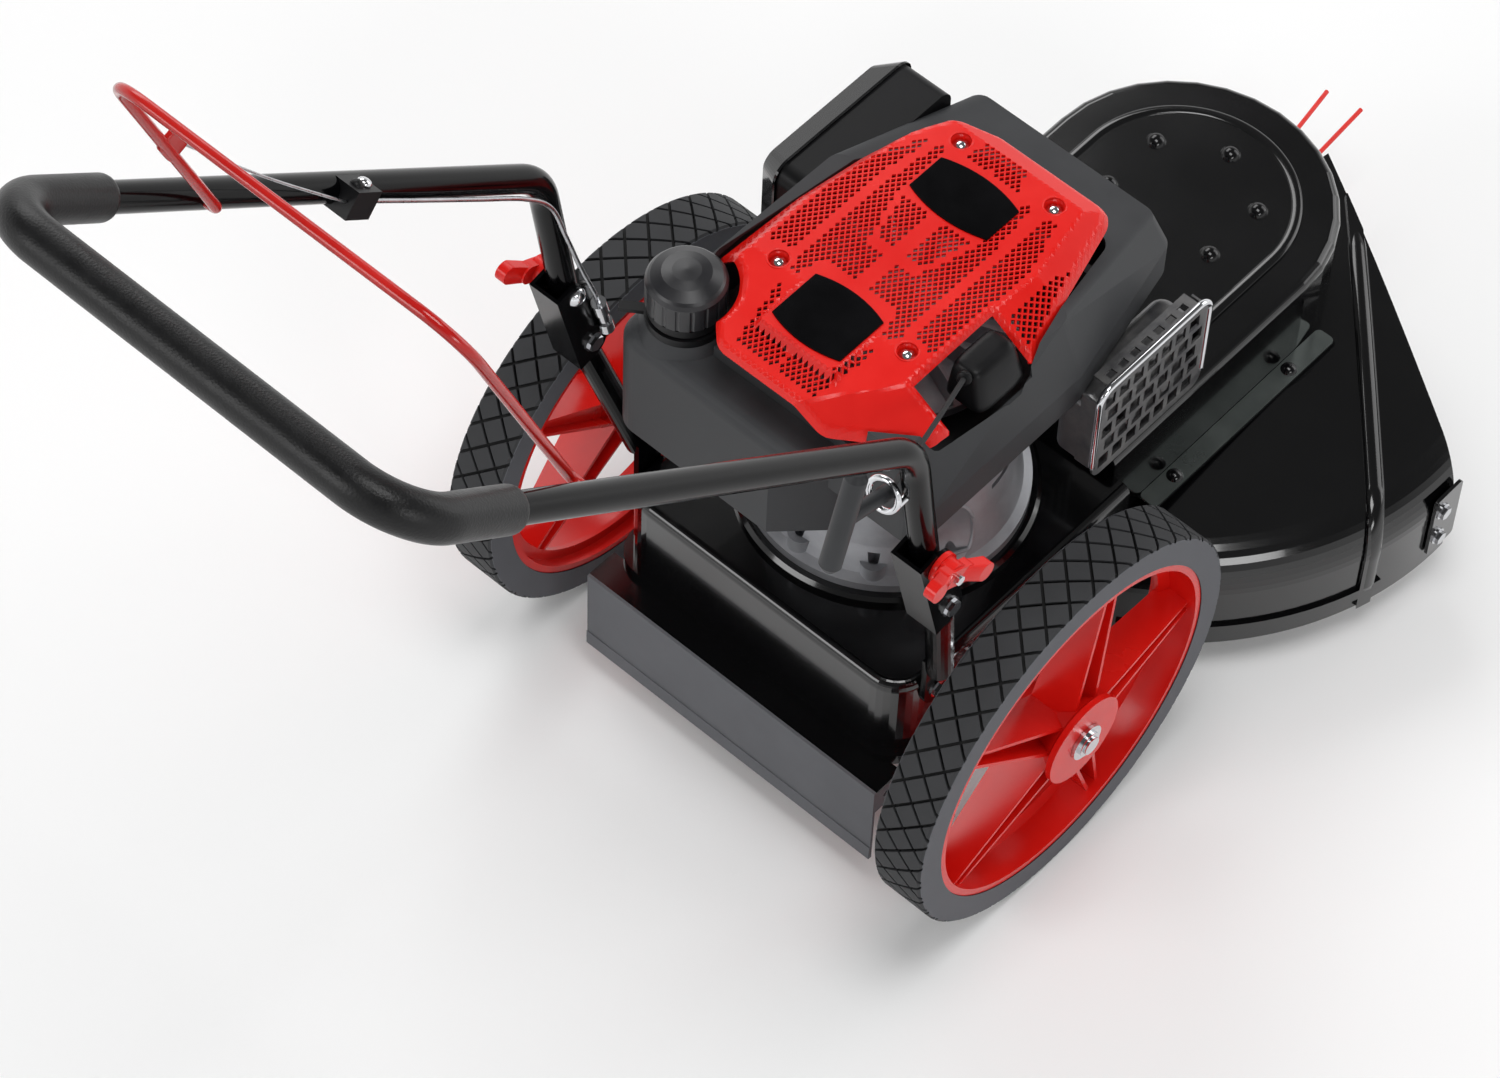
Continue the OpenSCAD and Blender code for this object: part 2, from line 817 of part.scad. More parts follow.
// Glide dish that carries the front of the machine on the ground
module glide_foot() {
    color(steel_black)
        rotate_extrude()
            polygon([[0, 0], [28, 0], [glide_r - 22, 4], [glide_r - 6, 14], [glide_r, 24],
                     [glide_r - 3, 25],
                     [glide_r - 9, 17], [glide_r - 24, 8], [26, 6], [18, 14], [16, head_low - seat_gap],
                     [spindle_r + run_gap, head_low - seat_gap], [spindle_r + run_gap, glide_bore_low],
                     [0, glide_bore_low]]);
}

// Closed outline that wraps both pulleys at the given radii
module belt_outline(re, rs) {
    tilt = asin((re - rs) / crank_back);
    n = [cos(tilt), sin(tilt)];
    translate([0, -crank_back])
        circle(re);
    circle(rs);
    polygon([[re * n.x, -crank_back + re * n.y], [rs * n.x, rs * n.y],
             [-rs * n.x, rs * n.y], [-re * n.x, -crank_back + re * n.y]]);
}

module v_belt() {
    color(plastic_black)
        translate([0, 0, belt_z - belt_w / 2])
            linear_extrude(belt_w)
                difference() {
                    belt_outline(belt_in_e + belt_t, belt_in_s + belt_t);
                    belt_outline(belt_in_e, belt_in_s);
                }
}

module crankshaft() {
    low = belt_z - pulley_h / 2 - 4;
    color(silver)
        translate([0, -crank_back, low])
            cylinder(r = crank_r, h = seat_top + fan_low + 40 - low);
}

// Cooling fan on the flywheel
module flywheel_fan() {
    color(silver)
        at_engine()
            translate([0, 0, fan_low])
                difference() {
                    union() {
                        cylinder(r = fan_r, h = 8);
                        cylinder(r = 34, h = 24);
                        for (k = [0 : 15])
                            rotate(22.5 * k)
                                translate([44, -1.5, 7])
                                    cube([fan_r - 46, 3, 25]);
                    }
                    translate([0, 0, -1])
                        cylinder(r = crank_r, h = 60);
                }
}

// Pressed seat ring between deck and engine
module engine_seat() {
    color(steel_black)
        translate([0, -crank_back, deck_top])
            rotate_extrude($fn = 128)
                polygon([[60, 0], [seat_r, 0], [seat_r, seat_h - 3], [seat_r - 3, seat_h], [60, seat_h]]);
}

// Cast crankcase with its flared foot, boss ring and dished side cover
module crankcase() {
    color(silver)
        at_engine()
            difference() {
                union() {
                    rotate_extrude($fn = 96)
                        polygon([[0, 0], [113, 0], [113, 8], [106, 12], [100, 40], [94, 84], [88, 92],
                                 [88, case_h],
                                 [0, case_h]]);
                    for (a = [200, 235, 270, 305, 340])
                        rotate(a)
                            translate([100, 0, 0])
                                cylinder(r = 11, h = 24);
                }
                translate([0, 0, -1])
                    cylinder(r = crank_r + run_gap, h = case_h + 2);
                rotate(-24)
                    translate([152, 0, 50])
                        sphere(r = 62);
                rotate(12)
                    translate([92, -13, 62])
                        cube([20, 26, 5]);
                for (a = [200, 235, 270, 305, 340])
                    rotate(a)
                        translate([100, 0, 14])
                            cylinder(r = 5, h = 20);
            }
}

// Finned cylinder in front of the crankcase, with its rocker cover
module cylinder_block() {
    color(silver)
        at_engine()
            difference() {
                union() {
                    translate([-42, 60, 96])
                        cube([84, 110, case_h - 100]);
                    for (k = [0 : 6])
                        translate([-62, 92 + 11 * k, 90])
                            cube([124, 5, case_h - 91]);
                    soft_box(-46, 46, 164, 190, 92, case_h - 2, 8, 6);
                    translate([0, pipe_at.x, pipe_at.y])
                        along_x()
                            cylinder(r = 16, h = muffler_x0 - seat_gap);
                }
                translate([0, 0, 80])
                    cylinder(r = 88 + seat_gap, h = 100);
                translate([60, pipe_at.x, pipe_at.y])
                    along_x()
                        cylinder(r = 11, h = 60);
            }
}

// Outline of the shroud's moulded body between two levels
module shroud_body(grow, z0, z1) {
    hull() {
        for (p = [[-118, -118], [118, -118], [118, 52], [88, 186], [-88, 186], [-106, 52]])
            translate([p.x, p.y, z0])
                cylinder(r = 15 + grow, h = 30, $fn = 32);
        for (p = [[-100, -120], [100, -120], [110, 40], [-97, 40]])
            translate([p.x, p.y, z1 - 4])
                cylinder(r = 11 + grow, h = 4, $fn = 32);
        for (p = [[78, 182], [-78, 182]])
            translate([p.x, p.y, z1 - 44])
                cylinder(r = 12 + grow, h = 4, $fn = 32);
    }
}

// Fan shroud, open above under the red cover
module engine_shroud() {
    color(plastic_grey)
        at_engine()
            difference() {
                shroud_body(0, shroud_low, shroud_top);
                difference() {
                    shroud_body(-wall, shroud_low + wall, shroud_top - wall);
                    translate([-200, 108, 0])
                        cube([400, 8, 400]);
                }
                translate([0, 0, shroud_low - 1])
                    cylinder(r = crank_r + 4, h = 20);
                cover_body(seat_gap, shroud_top - 31, cover_peak);
                tank_body(seat_gap);
                outlet_box(seat_gap);
                translate([cap_at.x, cap_at.y, shroud_low - 1])
                    cylinder(r = fuel_cap_r + 5, h = 200);
            }
}

// Outline of the engine cover: upright below the shroud's rim and sloped in above it
module cover_body(grow, z0, z1) {
    hull()
        for (p = cover_pts) {
            translate([p.x, p.y, z0])
                cylinder(r = 20 + grow, h = shroud_top + 3 - z0, $fn = 32);
            translate([p.x, p.y, z0])
                cylinder(r = 12 + grow, h = z1 - z0, $fn = 32);
        }
}

// Flat outline of the cover's vented roof
module roof_outline(grow) {
    hull()
        for (p = cover_pts)
            translate(p)
                circle(12 + grow, $fn = 32);
}

// Barrel shaped outline of a badge place
module badge_outline(w, h, grow) {
    intersection() {
        square([w + 2 * grow, h + 2 * grow], center = true);
        translate([0, -w * 1.4 + h / 2])
            circle(w * 1.4 + grow, $fn = 96);
        translate([0, w * 1.4 - h / 2])
            circle(w * 1.4 + grow, $fn = 96);
    }
}

// True where a vent hole may stand on the roof
function near_badge(p, at, w, h) =
    abs(p.x - at.x) < w / 2 + 7 && abs(p.y - at.y) < h / 2 + 6;
function near_screw(p) = min([for (s = screw_pts) norm(p - s)]) < 14;
function on_rib(p) =
    abs(abs(p.x) - 46) < 4 || (abs(p.x) < 42 && abs(abs(p.y + 8) - 34) < 4) || abs(p.x) < 4;
function in_roof(p) =
    p.y > -128 && p.y < 120 && p.x > -70 - 0.1 * p.y * (p.y < 0 ? 1 : -1) && p.x < 100 - 0.28 * max(p.y, 0)
    && p.x > -72 + 0.28 * max(p.y - 40, 0) && (p.x > -66 || p.y > -70)
    && norm(p - cap_at) > fuel_cap_r + 14;
function in_outlet(p) =
    p.x > outlet_x0 - 8 && p.y > outlet_y0 - outlet_clear - 8 && p.y < outlet_y1 + 8;
function vent_ok(p) =
    in_roof(p) && !near_badge(p, badge_front, 76, 50) && !near_badge(p, badge_rear, 66, 60)
    && !near_screw(p) && !on_rib(p) && !in_outlet(p);

// Diamond lattice of vent holes
module vents() {
    half = vent_pitch / 2;
    for (i = [-30 : 30], j = [-34 : 34])
        if ((i + j) % 2 == 0 && vent_ok([i * half * 1.25, j * half]))
            translate([i * half * 1.25, j * half])
                rotate(45)
                    square(vent_size, center = true);
}

// Red engine cover: sloped flanks and a roof full of diamond vents
module engine_cover() {
    low = shroud_top - 30;
    color(bright_red)
        at_engine() {
            difference() {
                cover_body(0, low, cover_peak);
                cover_body(-wall, low - 1, cover_peak + 1);
                outlet_box(seat_gap);
                translate([cap_at.x, cap_at.y, low - 1])
                    cylinder(r = fuel_cap_r + 8, h = 80);
            }
            translate([0, 0, cover_peak - wall])
                linear_extrude(wall)
                    difference() {
                        roof_outline(-1);
                        vents();
                        translate(cap_at)
                            circle(fuel_cap_r + 5);
                        translate([outlet_x0 - seat_gap, outlet_y0 - outlet_clear])
                            square([100, outlet_y1 - outlet_y0 + outlet_clear + seat_gap]);
                        for (s = screw_pts)
                            translate(s)
                                circle(7.6);
                    }
            for (s = screw_pts)
                translate([s.x, s.y, cover_peak - wall - 5])
                    difference() {
                        cylinder(r = 9, h = 6);
                        translate([0, 0, 3])
                            cylinder(r = 7, h = 10);
                        translate([0, 0, -1])
                            cylinder(r = 2.5 + bolt_gap, h = 10);
                    }
        }
}

module cover_screws() {
    color(chrome)
        at_engine()
            for (s = screw_pts)
                translate([s.x, s.y, cover_peak - wall - 2]) {
                    dome_head(5.5, 2.6);
                    translate([0, 0, -12])
                        cylinder(r = 2.5, h = 12);
                }
}

// Bare badge places on the roof
module cover_badges() {
    color(plastic_black)
        at_engine()
            translate([0, 0, cover_peak])
                linear_extrude(1.2) {
                    translate(badge_front)
                        badge_outline(76, 50, 0);
                    translate(badge_rear)
                        badge_outline(66, 60, 0);
                }
}

// Moulded tank body, grown by grow on every side
module tank_body(grow) {
    difference() {
        soft_box(tank_x0 - grow, tank_x1 + grow, tank_y0 - grow, tank_y1 + grow,
            tank_z0 - grow, tank_z1 + grow, 22, 12);
        translate([tank_x1 + grow, tank_y0 - grow, tank_z0 - 2])
            rotate(45)
                cube([60, 60, 200], center = true);
    }
    translate([cap_at.x, cap_at.y, tank_z1 - 6])
        cylinder(r1 = 38 + grow, r2 = 31 + grow, h = 16 + grow);
}

// Fuel tank behind the engine with its filler neck
module fuel_tank() {
    color(plastic_grey)
        at_engine()
            difference() {
                union() {
                    tank_body(0);
                    translate([cap_at.x, cap_at.y, tank_z1])
                        cylinder(r = neck_r, h = cap_low + 18 - tank_z1);
                }
                translate([cap_at.x, cap_at.y, tank_z1 - 40])
                    cylinder(r = neck_r - 4, h = 120);
            }
}

// Ribbed screw cap over the filler neck
module fuel_cap() {
    color(plastic_black)
        at_engine()
            translate([cap_at.x, cap_at.y, cap_low])
                difference() {
                    rotate_extrude()
                        polygon([[0, 20], [neck_r + 0.5, 20], [neck_r + 0.5, 0], [fuel_cap_r, 0],
                                 [fuel_cap_r, fuel_cap_h - 12],
                                 [fuel_cap_r - 2, fuel_cap_h - 9], [fuel_cap_r - 4, fuel_cap_h - 7],
                                 [fuel_cap_r - 12, fuel_cap_h - 2.6], [fuel_cap_r - 20, fuel_cap_h - 0.7],
                                 [0, fuel_cap_h]]);
                    for (k = [0 : 17])
                        rotate(20 * k)
                            translate([fuel_cap_r + 1.6, 0, -1])
                                cylinder(r = 2.4, h = fuel_cap_h - 12);
                }
}

// Tether ring round the neck with its tab
module cap_tether() {
    color(plastic_black)
        at_engine()
            translate([cap_at.x, cap_at.y, tank_z1 + 10 + seat_gap]) {
                difference() {
                    union() {
                        cylinder(r = fuel_cap_r, h = 7);
                        translate([0, 0, 9.5])
                            cylinder(r = fuel_cap_r - 1.5, h = 7);
                        cylinder(r = fuel_cap_r - 3, h = cap_low - tank_z1 - 10 - 2 * seat_gap);
                    }
                    translate([0, 0, -1])
                        cylinder(r = neck_r + seat_gap, h = 40);
                }
                rotate(215)
                    translate([fuel_cap_r - 1, -4, 0])
                        cube([20, 8, 4]);
            }
}

// Back plate of the air filter, fitted to the shroud's left flank
module filter_base() {
    color(plastic_black)
        at_engine()
            difference() {
                translate([filter_x + 30, 0, 0])
                    rotate([90, 0, -90])
                        linear_extrude(42)
                            round_rect(-filter_y1, -filter_y0, filter_z0, filter_z1 - 4, 14);
                shroud_body(seat_gap, shroud_low, shroud_top);
            }
}

// Clip-on air filter cover with ribs and its latch tab
module filter_cover() {
    color(plastic_black)
        at_engine() {
            difference() {
                hull() {
                    translate([filter_x - 12, 0, 0])
                        rotate([90, 0, -90])
                            linear_extrude(2)
                                round_rect(-filter_y1 - 2, -filter_y0 + 2, filter_z0 - 2, filter_z1 - 2, 15,
                                    $fn = 32);
                    translate([filter_x - 30, 0, 0])
                        rotate([90, 0, -90])
                            linear_extrude(4)
                                round_rect(-filter_y1 + 10, -filter_y0 - 10, filter_z0 + 10, filter_z1 - 14, 12,
                                    $fn = 32);
                }
                for (y = [filter_y0 + 36, filter_y0 + 56, filter_y0 + 76, filter_y0 + 96])
                    translate([filter_x - 36, y, filter_z0 + 24])
                        cube([4, 8, filter_z1 - filter_z0 - 52]);
            }
            translate([filter_x - 20, filter_y1 + 1, filter_z1 - 60])
                cube([16, 6, 34]);
        }
}

// Exhaust box on the cylinder's right side
module muffler() {
    color(silver)
        at_engine()
            difference() {
                soft_box(muffler_x0, muffler_x1, muffler_y0, muffler_y1, muffler_z0, muffler_z1, 12, 10);
                translate([muffler_x1 - 6, muffler_y0 + 26, muffler_z0 + 30])
                    along_x()
                        cylinder(r = 9, h = 20);
            }
}

// Perforated heat screen round the exhaust box
module muffler_guard() {
    color(silver)
        at_engine()
            difference() {
                union() {
                    translate([screen_x - screen_t, 0, 0])
                        rotate([90, 0, 90])
                            linear_extrude(screen_t)
                                difference() {
                                    round_rect(screen_y0, screen_y1, screen_z0, screen_z1, 12);
                                    for (i = [0 : 6], j = [0 : 4])
                                        translate([screen_y0 + 7 + 16.5 * i + (j % 2) * 5,
                                                   screen_z0 + 8 + 18.5 * j])
                                            square([11.5, 13]);
                                }
                    for (z = [screen_z0, screen_z1 - screen_t])
                        translate([screen_in, screen_y0 + 12, z])
                            cube([screen_x - 1 - screen_in, screen_y1 - screen_y0 - 24, screen_t]);
                    for (y = [screen_y0, screen_y1 - screen_t])
                        translate([screen_in, y, screen_z0 + 12])
                            cube([screen_x - 1 - screen_in, screen_t, screen_z1 - screen_z0 - 24]);
                    for (y = [muffler_y0 + 40, muffler_y1 - 40])
                        translate([muffler_x1, y, 112])
                            along_x()
                                cylinder(r = 6, h = screen_x - muffler_x1 - 1);
                }
                for (k = [0 : 6])
                    translate([screen_x - 12, screen_y0 + 18 + 14 * k, screen_z1 - 5])
                        cube([6, 8, 10]);
            }
}

// Recess of the rope outlet on the cover's right flank, open to the rear for the rope
module outlet_box(grow) {
    translate([outlet_x0 - grow, outlet_y0 - outlet_clear, outlet_z0 - grow])
        cube([100, outlet_y1 - outlet_y0 + outlet_clear + grow, 100]);
}

// Rope outlet with its bushing
module starter_outlet() {
    mouth = rope_pts[0] - [0, -crank_back, seat_top];
    out = unit(rope_pts[1] - rope_pts[0]);
    color(plastic_black)
        at_engine() {
            hull() {
                translate([outlet_x0, outlet_y0, outlet_z0])
                    cube([outlet_x1 - outlet_x0, outlet_y1 - outlet_y0, 2]);
                translate([outlet_x0 + 4, outlet_y0 + 6, outlet_z1 - 6])
                    cube([outlet_x1 - outlet_x0 - 16, outlet_y1 - outlet_y0 - 12, 2]);
            }
            rod(mouth - out * 12, mouth - out * 0.2, 6);
        }
}

// Starter rope from the outlet to the grip in its guide
module starter_rope() {
    color(plastic_black)
        swept(concat(rope_pts, [ring_at - pull_dir * 9]), rope_r, sides = 8);
}

// Pull grip: a stem through the guide ring and a cross bar
module starter_grip() {
    half = bar_len / 2;
    color(plastic_grey)
        translate(ring_at)
            rotate([-pull_tilt, 0, 0]) {
                translate([0, 8, 0])
                    rotate([90, 0, 0])
                        cylinder(r = 6, h = 8 + stem_len);
                translate([0, -stem_len, 0])
                    rotate_extrude()
                        polygon([[0, -half], [5, -half], [8.5, -half + 5], [8.5, half - 5], [5, half],
                                 [0, half]]);
            }
}

// Ring that holds the pull grip on the right upright
module rope_guide() {
    wall_y = guide_at.y - tube_r - seat_gap;
    color(chrome)
        difference() {
            union() {
                translate(ring_at)
                    rotate([90 - pull_tilt, 0, 0])
                        rotate_extrude()
                            translate([ring_r, 0])
                                circle(ring_wire, $fn = 24);
                rod([arm_x - 1, ring_at.y, ring_at.z], [arm_x - 1, wall_y + 2, ring_at.z], 3);
            }
            rod(fold_at, bend_at, tube_r + seat_gap);
        }
}

module axle() {
    color(chrome)
        translate([0, -wheelbase, wheel_r])
            along_x()
                cylinder(r = axle_r, h = 2 * axle_end, center = true);
}

// Spacer tubes between deck and hubs
module axle_spacers() {
    color(chrome)
        both_sides()
            at_wheel(1)
                translate([deck_x, 0, 0])
                    along_x()
                        difference() {
                            cylinder(r = axle_r + 4, h = wheel_x - hub_in - seat_gap - deck_x);
                            translate([0, 0, -1])
                                cylinder(r = axle_r + bolt_gap, h = 200);
                        }
}

// Washer and spring clip at each axle end
module axle_caps() {
    face = wheel_x + hub_out + seat_gap;
    color(chrome)
        both_sides()
            at_wheel(1)
                translate([face, 0, 0])
                    along_x()
                        difference() {
                            union() {
                                cylinder(r = axle_r + 8, h = washer_t);
                                translate([0, 0, washer_t])
                                    cylinder(r = axle_r + 3, h = 2.5);
                            }
                            translate([0, 0, -1])
                                cylinder(r = axle_r + bolt_gap, h = 20);
                        }
}

// Tyre with a lattice of slanted grooves
module tyre() {
    color(rubber_grey)
        translate([wheel_x, 0, 0])
            along_x()
                difference() {
                    linear_extrude(tyre_w, center = true)
                        difference() {
                            circle(wheel_r, $fn = 128);
                            circle(rim_r, $fn = 128);
                        }
                    for (k = [0 : tread_n - 1], lean = [-45, 45])
                        rotate(360 * k / tread_n)
                            translate([wheel_r, 0, 0])
                                rotate([lean, 0, 0])
                                    cube([2 * tread_depth, tread_gap, 2 * tyre_w], center = true);
                    for (s = [-1, 1])
                        rotate_extrude($fn = 128)
                            polygon([[wheel_r - 3, s * (tyre_w / 2 + 1)],
                                     [wheel_r + 1, s * (tyre_w / 2 + 1)],
                                     [wheel_r + 1, s * (tyre_w / 2 - 3)]]);
                }
}

// Spoked wheel body with channel spokes and a trumpet hub
module rim() {
    bore = axle_r + run_gap;
    half = tyre_w / 2 - 1;
    inner = rim_r - 6;
    color(bright_red)
        translate([wheel_x, 0, 0])
            along_x()
                difference() {
                    union() {
                        rotate_extrude($fn = 128)
                            polygon([[inner, -half], [rim_r, -half], [rim_r, half], [inner, half],
                                     [inner, -4],
                                     [inner - 9, -8], [inner - 9, -12], [inner, -12]]);
                        rotate_extrude()
                            polygon([[bore, -hub_in], [axle_r + 12, -hub_in], [axle_r + 14, -12],
                                     [axle_r + 18, 12], [hub_d / 2 - 5, hub_out - 8],
                                     [hub_d / 2, hub_out - 5], [hub_d / 2, hub_out],
                                     [bore, hub_out]]);
                        for (k = [0 : spoke_n - 1])
                            rotate(spoke_turn + 360 * k / spoke_n) {
                                for (s = [-1, 1])
                                    translate([0, s * spoke_root, 0])
                                        rotate([90, 0, -s * spoke_taper])
                                            linear_extrude(3, center = true)
                                                polygon([[axle_r + 10, -14], [inner + 3, -12],
                                                         [inner + 3, 14],
                                                         [axle_r + 14, hub_out - 8]]);
                                translate([0, 0, -5.5])
                                    linear_extrude(4)
                                        polygon([[axle_r + 10, -spoke_root + 1], [inner + 2.5, -spoke_tip],
                                                 [inner + 2.5, spoke_tip], [axle_r + 10, spoke_root - 1]]);
                            }
                    }
                    translate([0, 0, -100])
                        cylinder(r = bore, h = 200);
                }
}

module left_tyre() {
    at_wheel(-1)
        tyre();
}

module right_tyre() {
    at_wheel(1)
        tyre();
}

module left_rim() {
    at_wheel(-1)
        rim();
}

module right_rim() {
    at_wheel(1)
        rim();
}

// Lower strut from the deck's side up into the fold bracket, right-hand side
module strut() {
    foot = [deck_x + 9, foot_y - 5, foot_z + 36];
    knee = fold_at + strut_dir * 100;
    top = fold_at + strut_dir * strut_top;
    color(steel_black)
        difference() {
            union() {
                swept(bent_path([top, knee, foot], [60]), tube_r);
                translate([deck_x, foot_y, foot_z])
                    rotate([90, 0, 90])
                        linear_extrude(plate_bolt_t) {
                            circle(15);
                            translate([-15, 0])
                                square([26, 46]);
                        }
            }
            translate([deck_x - 20, foot_y - 40, foot_z - 40])
                cube([20, 80, deck_top - foot_z + 40]);
            swept(bent_path([top - strut_dir, knee, foot + unit(knee - foot) * 30], [60]), bore_r);
            translate([deck_x - 1, foot_y, foot_z])
                along_x()
                    cylinder(r = bolt_r + bolt_gap, h = 20);
            translate(fold_at + strut_dir * second_bolt)
                along_x()
                    cylinder(r = bolt_r + bolt_gap, h = 60, center = true);
        }
}

module left_strut() {
    mirror([1, 0, 0])
        strut();
}

module right_strut() {
    strut();
}

// Channel that joins strut and upper handle, right-hand side
module bracket() {
    color(steel_black)
        translate(fold_at)
            rotate([strut_tilt, 0, 0])
                difference() {
                    union() {
                        for (x = [cheek_in, -cheek_out])
                            translate([x, 0, 0])
                                rotate([90, 0, 90])
                                    linear_extrude(cheek_t) {
                                        translate([-web_back - cheek_t, -bracket_down])
                                            square([web_back + cheek_t, bracket_down + bracket_up]);
                                        translate([0, -bracket_down + 13])
                                            square([13, bracket_down - 13]);
                                        circle(13);
                                        translate([0, -bracket_down + 13])
                                            circle(13);
                                    }
                        translate([-cheek_out, -web_back - cheek_t, -bracket_down])
                            cube([2 * cheek_out, cheek_t, bracket_down + bracket_up]);
                    }
                    for (z = [0, -second_bolt])
                        translate([0, 0, z])
                            along_x()
                                cylinder(r = bolt_r + run_gap, h = 100, center = true);
                }
}

module left_bracket() {
    mirror([1, 0, 0])
        bracket();
}

module right_bracket() {
    bracket();
}

// Bolts that hold the struts in the brackets and on the deck
module strut_bolts() {
    color(chrome)
        both_sides() {
            translate(fold_at + strut_dir * second_bolt + [-cheek_out, 0, 0])
                along_x() {
                    cylinder(r = bolt_r, h = 2 * cheek_out + 2);
                    mirror([0, 0, 1])
                        hex_head(bolt_r + 3, head_t);
                    translate([0, 0, 2 * cheek_out])
                        hex_head(bolt_r + 3, head_t);
                }
            translate([deck_x + plate_bolt_t, foot_y, foot_z])
                along_x() {
                    translate([0, 0, -plate_bolt_t - sheet - 4])
                        cylinder(r = bolt_r, h = plate_bolt_t + sheet + 4);
                    hex_head(bolt_r + 3, head_t + 1);
                }
        }
}

// Fold bolts, heads inside and thread outside
module fold_bolts() {
    color(chrome)
        both_sides()
            translate(fold_at + [-cheek_out, 0, 0])
                along_x() {
                    cylinder(r = bolt_r, h = 2 * cheek_out + 20);
                    mirror([0, 0, 1])
                        dome_head(bolt_r + 4, head_t);
                }
}

// Wing nut on the fold bolt, right-hand side
module knob() {
    base = cheek_out + knob_gap;
    color(bright_red)
        translate(fold_at + [base, 0, 0])
            along_x()
                difference() {
                    union() {
                        cylinder(r = 13, h = 4);
                        cylinder(r = 11, h = 14);
                        rotate(62) {
                            hull()
                                for (s = [-1, 1])
                                    translate([s * 14, 0, 7])
                                        cylinder(r = 8, h = 9, $fn = 32);
                            for (s = [-1, 1])
                                hull() {
                                    translate([s * 14, 0, 8])
                                        cylinder(r = 7, h = 8, $fn = 32);
                                    translate([s * (wing_span / 2 - 8), 0, 13])
                                        cylinder(r = 8, h = 9, $fn = 32);
                                }
                        }
                    }
                    translate([0, 0, -1])
                        cylinder(r = bolt_r + run_gap, h = 60);
                }
}

module left_knob() {
    mirror([1, 0, 0])
        knob();
}

module right_knob() {
    knob();
}

// Points of the upper handle from one fold bolt round the grip to the other
function flip(p) = [-p.x, p.y, p.z];
handle_pts = [fold_at - up_dir * tube_stub, bend_at, grip_at, flip(grip_at), flip(bend_at),
              flip(fold_at - up_dir * tube_stub)];
handle_bends = [70, grip_bend, grip_bend, 70];
foam_end = grip_at - arm_dir * foam_leg;
foam_pts = [foam_end, grip_at, flip(grip_at), flip(foam_end)];

// Upper handle, one bent tube
module handlebar() {
    color(steel_black)
        difference() {
            swept(bent_path(handle_pts, handle_bends), tube_r, bore_r);
            translate([0, fold_y, fold_z])
                along_x()
                    cylinder(r = bolt_r + run_gap, h = 2 * arm_x + 60, center = true);
            translate([0, bail_at.y, bail_at.z])
                along_x()
                    cylinder(r = bail_r + run_gap, h = 2 * arm_x, center = true);
        }
}

// Foam sleeve over the grip bar and its corners
module foam_grip() {
    color(plastic_grey)
        swept(bent_path(foam_pts, [grip_bend, grip_bend]), foam_d / 2, tube_r + seat_gap / 2);
}

// Bail rod, hooked into both arms
module bail() {
    pin = [arm_x - 2, bail_at.y, bail_at.z];
    knee = [bail_x, bail_at.y, bail_at.z];
    corner = knee + bail_dir * bail_len - [6, 0, 0];
    color(bright_red)
        difference() {
            union() {
                swept(bent_path([pin, knee, corner, flip(corner), flip(knee), flip(pin)],
                    [10, 36, 36, 10]), bail_r, sides = 16);
                translate(flip(lug_at))
                    along_x()
                        cylinder(r = lug_r, h = 3, center = true);
            }
            translate(flip(lug_at) + [0, 5, 0])
                along_x()
                    cylinder(r = 1.8, h = 20, center = true);
        }
}

// Cable clamp on the left arm
module cable_clamp() {
    color(plastic_black)
        mirror([1, 0, 0])
            difference() {
                translate(clamp_at)
                    rotate([-arm_slope, 0, 0]) {
                        translate([-24, -clamp_half, -clamp_deep])
                            cube([22, 2 * clamp_half, 2 * clamp_deep]);
                        translate([-14, -4, clamp_deep])
                            dome_head(5, 4);
                    }
                rod(bend_at, grip_at, tube_r + seat_gap / 2);
            }
}

// Control cable: bare wire from the bail to the clamp, then its sheath down the left side
module control_cable() {
    color(plastic_black)
        mirror([1, 0, 0]) {
            swept([clamp_rear, (clamp_rear + wire_end) / 2 - [0, 0, 4], wire_end], 1, sides = 8);
            swept(concat([clamp_front], cable_pts, [adjuster_at - strut_dir * 0.3]), cable_r, sides = 8);
        }
}

// Threaded cable adjuster on the left bracket
module cable_adjuster() {
    color(chrome)
        mirror([1, 0, 0]) {
            rod(adjuster_at, adjuster_at + strut_dir * 14, 6);
            rod(adjuster_at + strut_dir * 13, adjuster_at + strut_dir * 30, 4.5);
            rod(adjuster_at + strut_dir * 29, adjuster_at + strut_dir * 41, 6);
        }
}

main_deck();
rear_skirt();
belt_cover();
side_guard();
guard_strip();
guard_strip_screws();
guard_end_plate();
guard_plate_bolts();
spindle_housing();
spindle_bolts();
spindle_bearings();
spindle_shaft();
spindle_pulley();
cutter_head();
trimmer_lines();
glide_foot();
v_belt();
engine_pulley();
crankshaft();
flywheel_fan();
engine_seat();
crankcase();
cylinder_block();
engine_shroud();
engine_cover();
cover_screws();
cover_badges();
fuel_tank();
fuel_cap();
cap_tether();
filter_base();
filter_cover();
muffler();
muffler_guard();
starter_outlet();
starter_rope();
starter_grip();
rope_guide();
axle();
axle_spacers();
axle_caps();
left_tyre();
left_rim();
right_tyre();
right_rim();
left_strut();
right_strut();
left_bracket();
right_bracket();
strut_bolts();
fold_bolts();
left_knob();
right_knob();
handlebar();
foam_grip();
bail();
cable_clamp();
control_cable();
cable_adjuster();
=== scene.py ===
"""Wheeled string trimmer: finishes and shaped pieces over the solid model, in metres, +Z up."""

import math

import bpy
import numpy as np
from mathutils import Matrix


